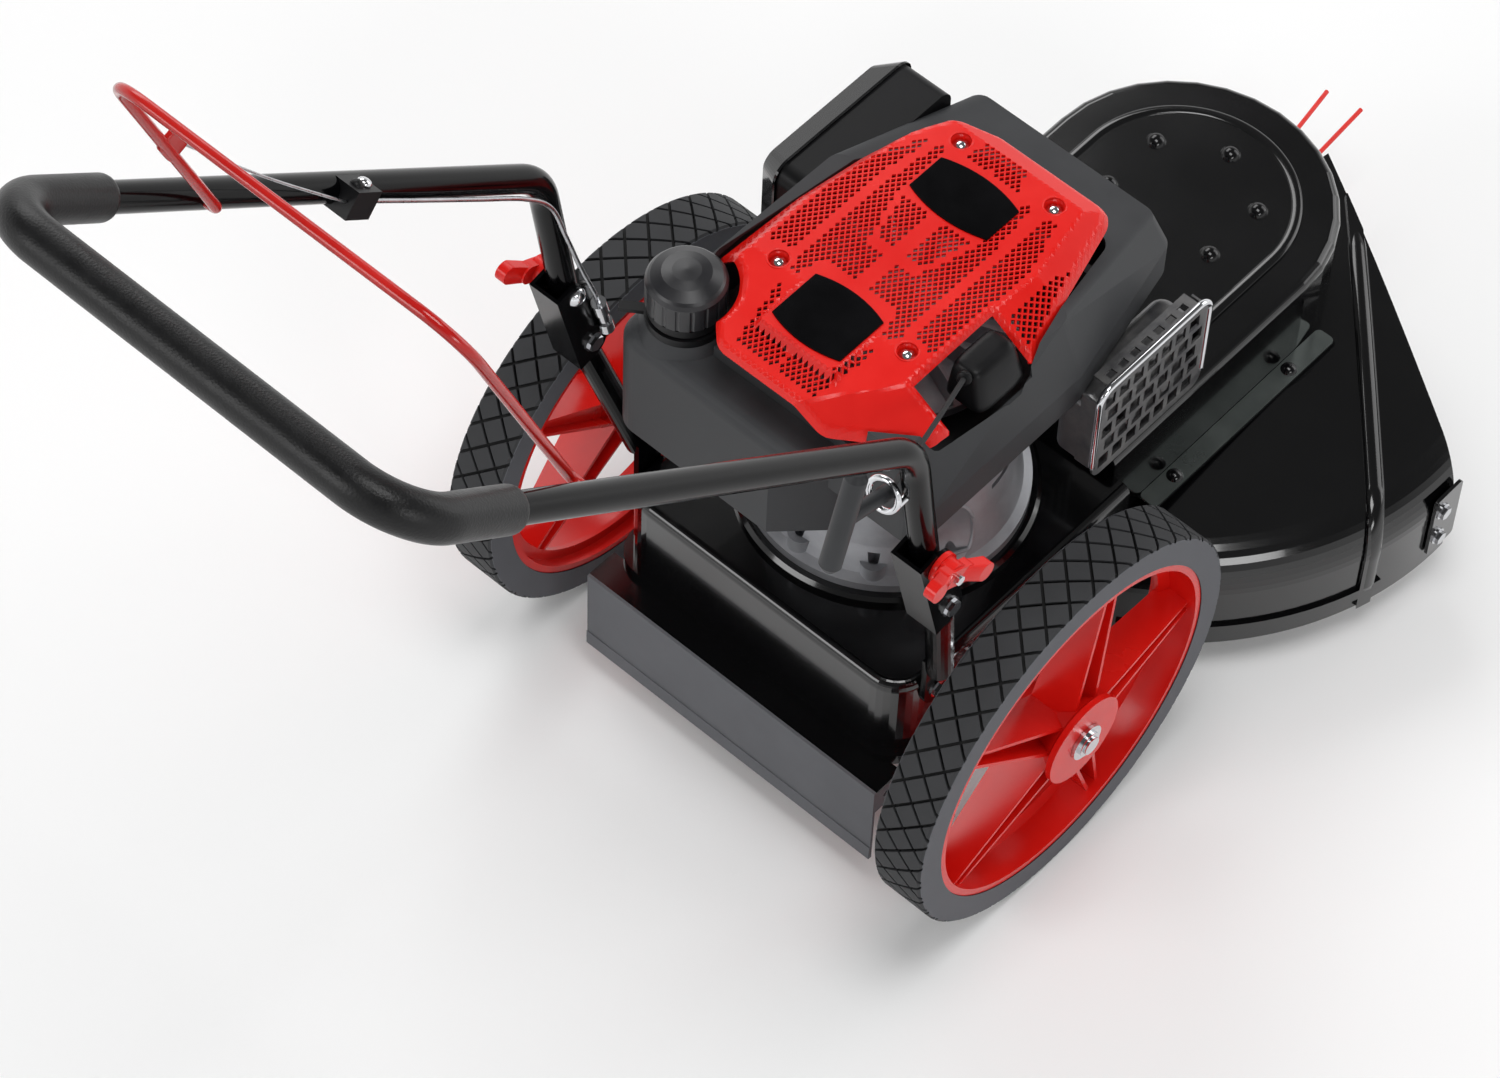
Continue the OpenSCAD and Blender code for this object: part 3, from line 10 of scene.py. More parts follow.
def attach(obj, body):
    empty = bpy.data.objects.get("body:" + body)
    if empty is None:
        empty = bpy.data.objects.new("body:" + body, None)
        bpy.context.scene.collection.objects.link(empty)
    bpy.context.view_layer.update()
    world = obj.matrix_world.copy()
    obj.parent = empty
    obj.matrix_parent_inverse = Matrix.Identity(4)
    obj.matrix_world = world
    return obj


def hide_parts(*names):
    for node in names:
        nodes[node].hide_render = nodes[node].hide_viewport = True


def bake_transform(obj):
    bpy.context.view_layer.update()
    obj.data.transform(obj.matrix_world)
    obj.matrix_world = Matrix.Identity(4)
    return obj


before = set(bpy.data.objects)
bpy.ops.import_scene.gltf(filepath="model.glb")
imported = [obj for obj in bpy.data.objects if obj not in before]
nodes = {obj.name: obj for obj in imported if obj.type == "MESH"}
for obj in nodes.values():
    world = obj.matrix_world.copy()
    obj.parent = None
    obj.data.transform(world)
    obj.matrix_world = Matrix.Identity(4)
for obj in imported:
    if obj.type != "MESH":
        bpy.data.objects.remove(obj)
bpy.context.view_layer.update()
MM = 0.001


# Node and mesh helpers

def linear(hex_colour):
    """sRGB hex to linear RGBA: divide by 12.92 near black, else ((c + 0.055) / 1.055) to the 2.4."""
    parts = [int(hex_colour[i:i + 2], 16) / 255 for i in (1, 3, 5)]
    return tuple(c / 12.92 if c <= 0.04045 else ((c + 0.055) / 1.055) ** 2.4 for c in parts) + (1.0,)


def add(tree, kind, inputs=None, **settings):
    """Add one shader node, set its properties, and link or set its named inputs."""
    node = tree.nodes.new("ShaderNode" + kind)
    for name, value in settings.items():
        setattr(node, name, value)
    for name, value in (inputs or {}).items():
        if isinstance(value, bpy.types.NodeSocket):
            tree.links.new(value, node.inputs[name])
        else:
            node.inputs[name].default_value = value
    return node


def new_material(name):
    """An empty node material and its tree."""
    material = bpy.data.materials.new(name)
    material.use_nodes = True
    material.node_tree.nodes.clear()
    return material, material.node_tree


def mixed(tree, share, dark, light):
    """The colour between two, hex or linked, by a share."""
    dark, light = (linear(c) if isinstance(c, str) else c for c in (dark, light))
    return add(tree, "Mix", {0: share, 6: dark, 7: light}, data_type="RGBA").outputs[2]


def surfaced(name, dark, light, patch, rough, grain, depth, cells=False, **sockets):
    """A surface whose colour drifts from dark to light in patches, with a fine grain in its relief.

    patch and grain are sizes in millimetres; noise of scale 1 / size on Object coordinates gives
    both. rough is the range of roughness over the patches, depth the height of the grain in
    millimetres. cells takes rounded cells for the grain in place of noise.
    """
    material, tree = new_material(name)
    place = add(tree, "TexCoord").outputs["Object"]
    drift = add(tree, "TexNoise", {"Vector": place, "Scale": 1 / (patch * MM), "Detail": 4.0,
                                   "Roughness": 0.6}).outputs["Fac"]
    spread = add(tree, "MapRange", {"Value": drift, "From Min": 0.3, "From Max": 0.7}).outputs["Result"]
    colour = mixed(tree, spread, dark, light)
    shine = add(tree, "MapRange", {"Value": drift, "From Min": 0.3, "From Max": 0.7, "To Min": rough[0],
                                   "To Max": rough[1]}).outputs["Result"]
    if cells:
        relief = add(tree, "TexVoronoi", {"Vector": place, "Scale": 1 / (grain * MM)}).outputs["Distance"]
    else:
        relief = add(tree, "TexNoise", {"Vector": place, "Scale": 1 / (grain * MM),
                                        "Detail": 3.0}).outputs["Fac"]
    bump = add(tree, "Bump", {"Height": relief, "Distance": depth * MM, "Strength": 1.0}).outputs["Normal"]
    shader = add(tree, "BsdfPrincipled", {"Base Color": colour, "Roughness": shine, "Normal": bump,
                                          **sockets})
    add(tree, "OutputMaterial", {"Surface": shader.outputs["BSDF"]})
    return material


def unit(v):
    """A vector divided by its own length."""
    v = np.asarray(v, float)
    return v / np.linalg.norm(v)


def put_mesh(name, points, faces, finish, smooth=True, uv=None):
    """A mesh object from points in millimetres and faces of corner numbers, smooth shaded on request."""
    mesh = bpy.data.meshes.new(name)
    mesh.from_pydata((np.asarray(points, float).reshape(-1, 3) * MM).tolist(), [], faces)
    mesh.materials.append(finish)
    mesh.polygons.foreach_set("use_smooth", [smooth] * len(mesh.polygons))
    if uv is not None:
        corners = np.zeros(len(mesh.loops), int)
        mesh.loops.foreach_get("vertex_index", corners)
        layer = mesh.uv_layers.new(name="along")
        layer.data.foreach_set("uv", np.asarray(uv, float).reshape(-1, 2)[corners].ravel())
    piece = bpy.data.objects.new(name, mesh)
    bpy.context.scene.collection.objects.link(piece)
    return piece


def grid_faces(rows, columns, closed=True):
    """Four-cornered faces of a grid of points, row by row, joined round its columns when closed."""
    i, j = np.meshgrid(np.arange(rows - 1), np.arange(columns if closed else columns - 1), indexing="ij")
    k = (j + 1) % columns
    quads = np.stack([i * columns + j, i * columns + k, (i + 1) * columns + k, (i + 1) * columns + j], -1)
    return quads.reshape(-1, 4).tolist()


def end_faces(rows, columns):
    """The two faces that close the first and the last row of a grid."""
    last = (rows - 1) * columns
    return [list(range(columns))[::-1], list(range(last, last + columns))]


def signed_power(v, power):
    """Each value's size raised to a power, with its sign kept."""
    return np.sign(v) * np.abs(v) ** power


def filleted(corners, radii, steps=14):
    """Straight runs joined by arcs: at each inner corner an arc of its radius touches both runs."""
    pts = [np.array(c, float) for c in corners]
    line = [pts[0][None]]
    for before, corner, after, r in zip(pts[:-2], pts[1:-1], pts[2:], radii):
        d1, d2 = unit(corner - before), unit(after - corner)
        turn = math.acos(np.clip(d1 @ d2, -1, 1))
        across = unit(d2 - d1 * (d1 @ d2))
        a = np.linspace(0, turn, steps)[:, None]
        middle = corner - d1 * r * math.tan(turn / 2) + across * r
        line.append(middle + r * (d1 * np.sin(a) - across * np.cos(a)))
    line.append(pts[-1][None])
    return np.concatenate(line)


def spaced(line, step):
    """The same line cut into equal steps of its own length."""
    run = np.concatenate([[0], np.cumsum(np.linalg.norm(np.diff(line, axis=0), axis=1))])
    at = np.linspace(0, run[-1], max(int(run[-1] / step), 2) + 1)
    return np.stack([np.interp(at, run, line[:, k]) for k in range(3)], 1), at


def splined(points, step):
    """A smooth line through points: a Catmull-Rom cubic on each run, cut into equal steps."""
    p = np.array(points, float)
    p = np.vstack([2 * p[0] - p[1], p, 2 * p[-1] - p[-2]])
    t = np.linspace(0, 1, 24, endpoint=False)[:, None]
    runs = [0.5 * (2 * b + (c - a) * t + (2 * a - 5 * b + 4 * c - d) * t ** 2
                   + (3 * b - a - 3 * c + d) * t ** 3)
            for a, b, c, d in zip(p[:-3], p[1:-2], p[2:-1], p[3:])]
    return spaced(np.vstack(runs + [p[-2:-1]]), step)


def tube(name, line, radius, finish, aside, sides=32, wide=1.0):
    """A round section of radius r(s) carried along a line: point = line + r (cos a A + wide sin a B).

    A is the direction aside, one for all or one for each point, made square to the line's tangent.
    B is the cross product of the tangent and A, and wide stretches the section along it.
    """
    along = np.gradient(line, axis=0)
    along /= np.linalg.norm(along, axis=1)[:, None]
    aside = np.broadcast_to(np.asarray(aside, float), line.shape)
    a_dir = aside - along * np.sum(along * aside, axis=1)[:, None]
    a_dir /= np.linalg.norm(a_dir, axis=1)[:, None]
    b_dir = wide * np.cross(along, a_dir)
    turn = np.linspace(0, 2 * np.pi, sides, endpoint=False)
    r = np.broadcast_to(np.asarray(radius, float), (len(line),))[:, None, None]
    ring = np.cos(turn)[None, :, None] * a_dir[:, None] + np.sin(turn)[None, :, None] * b_dir[:, None]
    points = line[:, None] + r * ring
    run = np.concatenate([[0], np.cumsum(np.linalg.norm(np.diff(line, axis=0), axis=1))])
    uv = np.stack(np.broadcast_arrays(run[:, None] * MM, turn[None] / (2 * np.pi)), -1)
    return put_mesh(name, points, grid_faces(len(line), sides) + end_faces(len(line), sides), finish, uv=uv)


def rounded_block(name, middle, half, turn, finish, power=0.35, rows=24, columns=48):
    """A block with round edges: a superellipsoid, each sine and cosine raised to a power below one.

    point = middle + turn (half * (C(b) C(a), C(b) S(a), S(b))), with C and S the signed powers of
    cosine and sine. turn is three column directions.
    """
    a = np.linspace(0, 2 * np.pi, columns, endpoint=False)[None, :]
    b = np.linspace(-np.pi / 2, np.pi / 2, rows)[:, None]
    ca, sa, cb, sb = (signed_power(v, power) for v in (np.cos(a), np.sin(a), np.cos(b), np.sin(b)))
    shape = np.stack(np.broadcast_arrays(cb * ca, cb * sa, sb), -1) * np.asarray(half, float)
    points = np.asarray(middle, float) + shape @ np.asarray(turn, float)
    return put_mesh(name, points, grid_faces(rows, columns), finish)


def worn(piece, body, *hidden, slot=None):
    """Make a piece ride on a body and stand for the hidden nodes. The slot is not used."""
    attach(piece, body)
    if hidden:
        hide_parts(*hidden)
    return piece


# Finishes

# Stoved enamel on pressed steel: deep black, wet looking, with a faint orange peel
enamel_black = surfaced("stoved_black_enamel", "#040405", "#070708", 90, (0.12, 0.18), 6, 0.006,
                        **{"Specular IOR Level": 0.45, "Coat Weight": 0.5, "Coat Roughness": 0.06})
# Powder coat on bent tube and bar: black with a fine flow texture, less bright than the enamel
satin_black = surfaced("satin_black_powder_coat", "#030304", "#060607", 60, (0.12, 0.18), 3, 0.008,
                       **{"Specular IOR Level": 0.12})
# Filled nylon, spark eroded mould: dark grey with an even fine grain, dull
nylon_grey = surfaced("moulded_grey_nylon", "#313234", "#3a3b3d", 60, (0.44, 0.56), 2.2, 0.04,
                      **{"Specular IOR Level": 0.25})
# Filled nylon, dark: the caps, clamps and head, a little smoother than the shroud
nylon_black = surfaced("moulded_black_nylon", "#0b0b0c", "#111113", 45, (0.34, 0.46), 2.2, 0.03,
                       **{"Specular IOR Level": 0.2})
# Filled nylon from a finer mould: the fuel cap, with a soft broad highlight
cap_nylon = surfaced("fine_moulded_black_nylon", "#17171a", "#202023", 30, (0.3, 0.38), 2.2, 0.02,
                     **{"Specular IOR Level": 0.5})
# Polished mould ABS: black and clear to reflect
abs_black = surfaced("polished_black_abs", "#060607", "#0a0a0c", 70, (0.08, 0.14), 6, 0.006,
                     **{"Specular IOR Level": 0.45})
# Vinyl label film with no print: smooth black, a weak clear reflection
label_film = surfaced("black_vinyl_film", "#050506", "#08080a", 40, (0.12, 0.18), 3, 0.003,
                      **{"Specular IOR Level": 0.14})
# Polished mould ABS in signal red: full colour, soft highlights
abs_red = surfaced("moulded_red_abs", "#d3140f", "#df1d15", 80, (0.2, 0.28), 3, 0.012,
                   **{"Specular IOR Level": 0.36})
# Powder coat over bent rod: red with a slight texture
powder_red = surfaced("red_powder_coat", "#a8110d", "#b61812", 40, (0.16, 0.24), 2.4, 0.01,
                      **{"Specular IOR Level": 0.5})
# Pressure die cast aluminium: pale grey, blasted skin, soft metallic sheen
cast_aluminium = surfaced("die_cast_aluminium", "#919296", "#a6a7ab", 30, (0.38, 0.5), 2.0, 0.08,
                          **{"Metallic": 0.7})
# Chromium over polished steel: bright mirror with a little haze
chrome = surfaced("chromed_steel", "#c9cacd", "#dcdde0", 40, (0.06, 0.12), 4, 0.004, **{"Metallic": 1.0})
# Zinc plate on pressed sheet: even grey green metal with a soft sheen
zinc = surfaced("zinc_plated_sheet", "#868e8b", "#949b98", 50, (0.26, 0.32), 2.5, 0.008,
                **{"Metallic": 0.95})
# Bare sheet steel dulled by heat: dark grey metal with brown drift
hot_steel = surfaced("heat_dulled_steel", "#626265", "#7b7a79", 18, (0.3, 0.44), 2.5, 0.02,
                     **{"Metallic": 0.9})
# Sheet rubber with cloth inside: flat dark grey, fine press cloth grain
sheet_rubber = surfaced("sheet_rubber", "#5a5b5f", "#646569", 70, (0.6, 0.72), 2.0, 0.04,
                        **{"Specular IOR Level": 0.3})


# Wheels in metres: middle plane, axle line, half width of the tread, and the groove's floor and top, between
# which the painted shade of the grooves fades
WHEEL_X, AXLE_Y, AXLE_Z = 0.221, -0.421, 0.178
TREAD_HALF, GROOVE_LOW, GROOVE_TOP = 0.0226, 0.1752, 0.1768


def tyre_finish(name):
    """Tyre rubber told apart by place: pale dusty flat side walls, dark tread blocks, painted shade in
    grooves.

    The side walls lie further from the wheel's middle plane than half the tread's width. The painted shade
    that makes the grooves near black fades in between two radii about the axle line.
    """
    material, tree = new_material(name)
    place = add(tree, "TexCoord").outputs["Object"]
    axes = add(tree, "SeparateXYZ", {0: place}).outputs
    beside = add(tree, "Math", {0: axes["X"]}, operation="ABSOLUTE").outputs[0]
    off = add(tree, "Math", {0: beside, 1: WHEEL_X}, operation="SUBTRACT").outputs[0]
    wide = add(tree, "Math", {0: off}, operation="ABSOLUTE").outputs[0]
    side = add(tree, "Math", {0: wide, 1: TREAD_HALF}, operation="GREATER_THAN").outputs[0]
    ahead = add(tree, "Math", {0: axes["Y"], 1: AXLE_Y}, operation="SUBTRACT").outputs[0]
    above = add(tree, "Math", {0: axes["Z"], 1: AXLE_Z}, operation="SUBTRACT").outputs[0]
    flat = add(tree, "CombineXYZ", {"X": ahead, "Y": above}).outputs[0]
    reach = add(tree, "VectorMath", {0: flat}, operation="LENGTH").outputs["Value"]
    # Painted shade in the grooves: near black at the groove floor, fading to the block colour at the groove's
    # top
    out_of_painted_groove_shade = add(tree, "MapRange", {"Value": reach, "From Min": GROOVE_LOW,
                                   "From Max": GROOVE_TOP}).outputs["Result"]
    dust = add(tree, "TexNoise", {"Vector": place, "Scale": 1 / (30 * MM), "Detail": 5.0}).outputs["Fac"]
    tread = mixed(tree, out_of_painted_groove_shade, "#080809", mixed(tree, dust, "#29292b", "#3a3b3d"))
    wall = mixed(tree, dust, "#55565a", "#606166")
    colour = mixed(tree, side, tread, wall)
    grit = add(tree, "TexNoise", {"Vector": place, "Scale": 1 / (2.5 * MM), "Detail": 3.0}).outputs["Fac"]
    bump = add(tree, "Bump", {"Height": grit, "Distance": 0.05 * MM}).outputs["Normal"]
    rough = add(tree, "MapRange", {"Value": dust, "To Min": 0.6, "To Max": 0.75}).outputs["Result"]
    shader = add(tree, "BsdfPrincipled", {"Base Color": colour, "Roughness": rough, "Normal": bump,
                                          "Specular IOR Level": 0.3})
    add(tree, "OutputMaterial", {"Surface": shader.outputs["BSDF"]})
    return material


# Carbon filled tyre rubber, moulded: grey side walls with bloom, darker blocks, and painted shade that makes
# the grooves near black
tyre_rubber = tyre_finish("carbon_black_tyre_rubber")
# Closed cell nitrile foam: charcoal skin full of pores
foam = surfaced("nitrile_foam", "#0a0a0b", "#111112", 20, (0.34, 0.44), 1.8, 0.12, cells=True,
                **{"Specular IOR Level": 0.28})
# Wrapped rubber belt: black, cloth face
belt_cloth = surfaced("wrapped_belt_rubber", "#121213", "#1a1a1b", 15, (0.7, 0.82), 1.5, 0.06,
                      **{"Specular IOR Level": 0.25})
# Extruded nylon line: clear red, slightly shiny
nylon_line = surfaced("extruded_red_nylon", "#d4160f", "#e6281c", 12, (0.3, 0.4), 2.0, 0.01)
# Braided polyester cord: charcoal plait
braid = surfaced("braided_cord", "#141415", "#232325", 3, (0.7, 0.85), 1.6, 0.15, cells=True)
# Galvanised wire and its wound conduit: pale grey metal, fine turns
bright_wire = surfaced("galvanised_wire", "#a9aaad", "#bfc0c3", 12, (0.24, 0.34), 2.0, 0.006,
                       **{"Metallic": 1.0})

FINISH = {
    enamel_black: ["main_deck", "belt_cover", "side_guard", "guard_end_plate", "engine_seat", "glide_foot"],
    satin_black: ["left_strut", "right_strut", "left_bracket", "right_bracket", "handlebar"],
    nylon_grey: ["engine_shroud", "fuel_tank", "starter_grip"],
    nylon_black: ["cutter_head", "cap_tether", "filter_base", "starter_outlet", "cable_clamp"],
    cap_nylon: ["fuel_cap"],
    abs_black: ["filter_cover", "spindle_bolts", "guard_strip_screws"],
    label_film: ["cover_badges"],
    abs_red: ["engine_cover", "left_rim", "right_rim", "left_knob", "right_knob"],
    powder_red: ["bail"],
    cast_aluminium: ["spindle_housing", "spindle_pulley", "engine_pulley", "flywheel_fan", "crankcase",
                     "cylinder_block"],
    chrome: ["guard_plate_bolts", "spindle_bearings", "cover_screws", "rope_guide", "axle", "axle_spacers",
             "axle_caps", "strut_bolts", "fold_bolts", "cable_adjuster"],
    zinc: ["guard_strip", "spindle_shaft", "crankshaft"],
    hot_steel: ["muffler_guard", "muffler"],
    sheet_rubber: ["rear_skirt"],
    tyre_rubber: ["left_tyre", "right_tyre"],
    foam: ["foam_grip"],
    belt_cloth: ["v_belt"],
    nylon_line: ["trimmer_lines"],
    braid: ["starter_rope"],
    bright_wire: ["control_cable"],
}
for finish, names in FINISH.items():
    for name in names:
        nodes[name].data.materials.clear()
        nodes[name].data.materials.append(finish)


# Handle: tube, foam sleeve and bail

def rearward(degrees):
    """The direction that points backwards and rises by an angle."""
    return np.array([0.0, -math.cos(math.radians(degrees)), math.sin(math.radians(degrees))])


# In millimetres: the arms' middle planes, the fold bolt and the bend in (y, z), and the arm's length
ARM_X, FOLD, BEND, ARM_LENGTH = 176.0, (-538.0, 468.0), (-562.0, 616.0), 632.0
TUBE_R, BEND_R, CORNER_R, STUB = 11.0, 70, 45, 9.0
ARM = rearward(40.2)
RISE = unit((0.0, BEND[0] - FOLD[0], BEND[1] - FOLD[1]))
ACROSS = np.cross(ARM, (1.0, 0.0, 0.0))
MIRROR = np.array([-1.0, 1.0, 1.0])
fold_at = np.array([ARM_X, *FOLD])
bend_at = np.array([ARM_X, *BEND])
grip_at = bend_at + ARM * ARM_LENGTH

stub = fold_at - RISE * STUB
handle_line, _ = spaced(filleted(
    [stub, bend_at, grip_at, grip_at * MIRROR, bend_at * MIRROR, stub * MIRROR],
    [BEND_R, CORNER_R, CORNER_R, BEND_R]), 6.0)
worn(tube("handle_tube", handle_line, TUBE_R, satin_black, ACROSS, 40), "upper_handle", "handlebar",
     slot="black_steel")

# Foam sleeve: length of its legs on the arms, bore, wall and the round of its ends
FOAM_LEG, FOAM_BORE, FOAM_WALL, FOAM_ROUND = 115.0, 11.3, 4.7, 6.0
foam_end = grip_at - ARM * FOAM_LEG
foam_line, foam_run = spaced(filleted([foam_end, grip_at, grip_at * MIRROR, foam_end * MIRROR],
                                      [CORNER_R, CORNER_R], 24), 1.5)
from_end = np.minimum(foam_run, foam_run[-1] - foam_run)
foam_r = FOAM_BORE + FOAM_WALL * np.sqrt(1 - np.clip(1 - from_end / FOAM_ROUND, 0, 1) ** 2)
grip = worn(tube("foam_sleeve", foam_line, foam_r, foam, ACROSS, 40), "upper_handle", "foam_grip",
            slot="foam")

# Bail: way of its pivot down the arm, half widths at knee and pin, arm length, inward lean, rod radius
BAIL_DOWN, KNEE_X, PIN_X, BAIL_LENGTH, BAIL_LEAN, BAIL_R = 214.0, 154.5, 174.0, 231.0, 6, 4.0
# Lug of the control wire: way up the bail's arm, forward and inward, its middle behind that, half sizes
LUG_UP, LUG_AHEAD, LUG_IN, LUG_BACK, LUG_HALF = 108.0, 7.0, 3, 3.0, (2.6, 9.0, 12.0)
BAIL = rearward(68.2)
FRONT = np.array([0.0, BAIL[2], -BAIL[1]])
pivot = (grip_at - ARM * BAIL_DOWN) * (0, 1, 1)
knee = pivot + (KNEE_X, 0, 0)
corner = knee + BAIL * BAIL_LENGTH - (BAIL_LEAN, 0, 0)
pin = pivot + (PIN_X, 0, 0)
bail_line, _ = spaced(filleted([pin, knee, corner, corner * MIRROR, knee * MIRROR, pin * MIRROR],
                               [10, 36, 36, 10], 18), 3.0)
worn(tube("bail_rod", bail_line, BAIL_R, powder_red, np.cross(BAIL, (1, 0, 0)), 24), "bail", "bail",
     slot="red_paint")
lug_at = (knee + BAIL * LUG_UP + FRONT * LUG_AHEAD - (LUG_IN, 0, 0)) * MIRROR
worn(rounded_block("bail_lug", lug_at - FRONT * LUG_BACK, LUG_HALF, ((1, 0, 0), FRONT, BAIL), powder_red),
     "bail", slot="red_paint")

# Engine cover: vented moulding and its screw wells, in millimetres on the crankshaft's axis

ENGINE = np.array([0.0, -361.0, 224.0])
ROOF, COVER_WALL, WELL_R = 275.0, 2.2, 8.0
RIM_GROW, RIM_ROLL, RIM_DROP = 20.0, 6, 5.0
CAP_CLEAR, NOTCH_X, NOTCH_REAR, NOTCH_FRONT = 39.0, 83.6, -84.2, 2.4
# Creases in plan, the level pad round the rear badge, and each plane's fall in millimetres per millimetre
RIGHT_CREASE, LEFT_CREASE, REAR_CREASE, FRONT_EDGE = 85, -86, -71, 120
PAD_Y, PAD_HALF, PAD_FALL = -82, 36, 2.0
SIDE_FALL, LEFT_FALL, FRONT_FALL, REAR_FALL = 0.62, 1.15, 0.5, 0.16
RIM_CORNERS = np.array([(-40, -130), (48, -130), (100, -92), (107, -16), (70, 121), (-20, 121), (-42, 112),
                        (-73, 48), (-89, -80)], float)
CAP_AT = np.array([-102.0, -124.0])
WELLS = np.array([(-63, -67), (62, -67), (-38, 109), (53, 109)], float)
# Vent fields read off the roof: left of the middle, and those that have no twin
TWIN_VENTS = [[(-55, -68), (-43, -68), (-38, -43), (-10, -43), (-10, -11), (-26, -11), (-41, 40), (-41, 98),
               (-47, 98), (-54, 40)],
              [(-36, 41), (-10, 41), (-10, -3), (-24, -3)],
              [(-50, -82), (-43, -82), (-38, -120), (-4, -120), (-4, -138), (-40, -138)],
              [(-20, 122), (1, 122), (-4, 101), (-32, 99)]]
LONE_VENTS = [[(-84, -58), (-63, -54), (-62, 40), (-55, 98), (-61, 90), (-79, 48), (-83, 0)],
              [(57, -52), (79, -60), (81, 48), (65, 98), (57, 98)],
              [(92, 8), (117, 8), (112, 58), (97, 92), (92, 46)],
              [(-99, -82), (-91, -76), (-89, 14), (-95, 4)]]


def rim_gap(x, y):
    """Signed distance from the cover's rim, positive outside it.

    The rim is a polygon grown by RIM_GROW, less the round clearance of the fuel cap and the square
    notch of the rope outlet.
    """
    p = np.stack([x, y], -1)
    far = np.full(x.shape, np.inf)
    inside = np.ones(x.shape, bool)
    for a, b in zip(RIM_CORNERS, np.roll(RIM_CORNERS, -1, 0)):
        run = b - a
        t = np.clip((p - a) @ run / (run @ run), 0, 1)
        far = np.minimum(far, np.linalg.norm(p - a - t[..., None] * run, axis=-1))
        inside &= run[0] * (y - a[1]) - run[1] * (x - a[0]) > 0
    cap = CAP_CLEAR - np.linalg.norm(p - CAP_AT, axis=-1)
    notch = np.minimum(np.minimum(x - NOTCH_X, y - NOTCH_REAR), NOTCH_FRONT - y)
    return np.maximum(np.maximum(np.where(inside, -far, far) - RIM_GROW, cap), notch)


def cover_gap(x, y):
    """The rim's signed distance with the four screw wells taken out."""
    wells = [WELL_R - np.hypot(x - wx, y - wy) for wx, wy in WELLS]
    return np.maximum(rim_gap(x, y), np.max(wells, axis=0))


def cover_height(x, y):
    """Height of the cover: the least of a flat roof and sloped planes, rolled down at the rim.

    Planes fall right of the right crease, left of the left crease, over the front edge, behind the
    rear crease and off the rear right corner. A flat pad stays level round the rear badge. The last
    way before the rim, RIM_ROLL long, falls by its square.
    """
    right = RIGHT_CREASE - 0.19 * np.clip(y - 50, 0, None) - 0.03 * np.clip(50 - y, 0, None)
    left = LEFT_CREASE + 0.155 * np.clip(y + 8, 0, None)
    pad = PAD_FALL * np.clip(np.maximum(np.abs(x) - PAD_HALF, np.abs(y - PAD_Y) - PAD_HALF), 0, None)
    rear = np.minimum(REAR_FALL * np.clip(REAR_CREASE - y, 0, None), pad)
    corner = SIDE_FALL * ((x - 56) * 0.746 - (y + 117) * 0.665)
    fall = np.max([rear, SIDE_FALL * (x - right), LEFT_FALL * (left - x), FRONT_FALL * (y - FRONT_EDGE),
                   rear + corner, np.zeros(x.shape)], axis=0)
    return ROOF - fall - RIM_DROP * np.clip((rim_gap(x, y) + RIM_ROLL) / RIM_ROLL, 0, 1) ** 2


def within(corners, x, y):
    """True inside a polygon: a ray to the right crosses its sides an odd number of times."""
    odd = np.zeros(x.shape, bool)
    for (ax, ay), (bx, by) in zip(corners, np.roll(corners, -1, 0)):
        crosses = (ay > y) != (by > y)
        odd ^= crosses & (x < ax + (y - ay) * (bx - ax) / (by - ay + 1e-9))
    return odd


def vented_cover(name, finish, across=5.25, along=7.0, hole=0.35, cells=48, margin=5):
    """Sheet over a slanted lattice whose cells open as diamonds where a vent field lies.

    With u and v along the lattice, x = across (u + v) / 2 and y = along (u - v) / 2. Lines stand at
    k - hole and k + hole, so each even cell is a diamond. No cell opens within the margin of the
    edge. Edge points slide down the slope of the signed distance until they meet the rim.
    """
    k = np.arange(-cells, cells + 1)
    lines = np.sort(np.concatenate([k - hole, k + hole]))
    mids = (lines[:-1] + lines[1:]) / 2
    u, v = np.meshgrid(lines, lines, indexing="ij")
    um, vm = np.meshgrid(mids, mids, indexing="ij")
    x, y = across * (u + v) / 2, along * (u - v) / 2
    xm, ym = across * (um + vm) / 2, along * (um - vm) / 2
    kept = cover_gap(xm, ym) < 0
    fields = [np.array(f, float) for f in TWIN_VENTS + LONE_VENTS]
    fields += [np.array(f, float) * (-1, 1) - (5, 0) for f in TWIN_VENTS]
    open_cell = np.any([within(f, xm, ym) for f in fields], axis=0)
    even = np.arange(len(mids)) % 2 == 0
    open_cell &= even[:, None] & even[None, :] & (cover_gap(xm, ym) < -margin)
    near = np.zeros(x.shape, int)
    for di, dj in ((0, 0), (0, 1), (1, 0), (1, 1)):
        near[di:di + len(mids), dj:dj + len(mids)] += kept
    edge = (near > 0) & (near < 4)
    ex, ey = x[edge], y[edge]
    for _ in range(5):
        gap = cover_gap(ex, ey)
        sx = (cover_gap(ex + 0.01, ey) - gap) / 0.01
        sy = (cover_gap(ex, ey + 0.01) - gap) / 0.01
        size = np.clip(sx ** 2 + sy ** 2, 0.25, None)
        ex, ey = ex - gap * sx / size, ey - gap * sy / size
    x[edge], y[edge] = ex, ey
    points = np.stack([x, y, cover_height(x, y)], -1).reshape(-1, 3) + ENGINE
    i, j = np.nonzero(kept & ~open_cell)
    n = len(lines)
    quads = np.stack([i * n + j, i * n + j + 1, (i + 1) * n + j + 1, (i + 1) * n + j], -1)
    used, renamed = np.unique(quads, return_inverse=True)
    piece = put_mesh(name, points[used], renamed.reshape(-1, 4).tolist(), finish, smooth=False)
    wall = piece.modifiers.new("wall", "SOLIDIFY")
    wall.thickness, wall.offset = COVER_WALL * MM, -1.0
    return piece


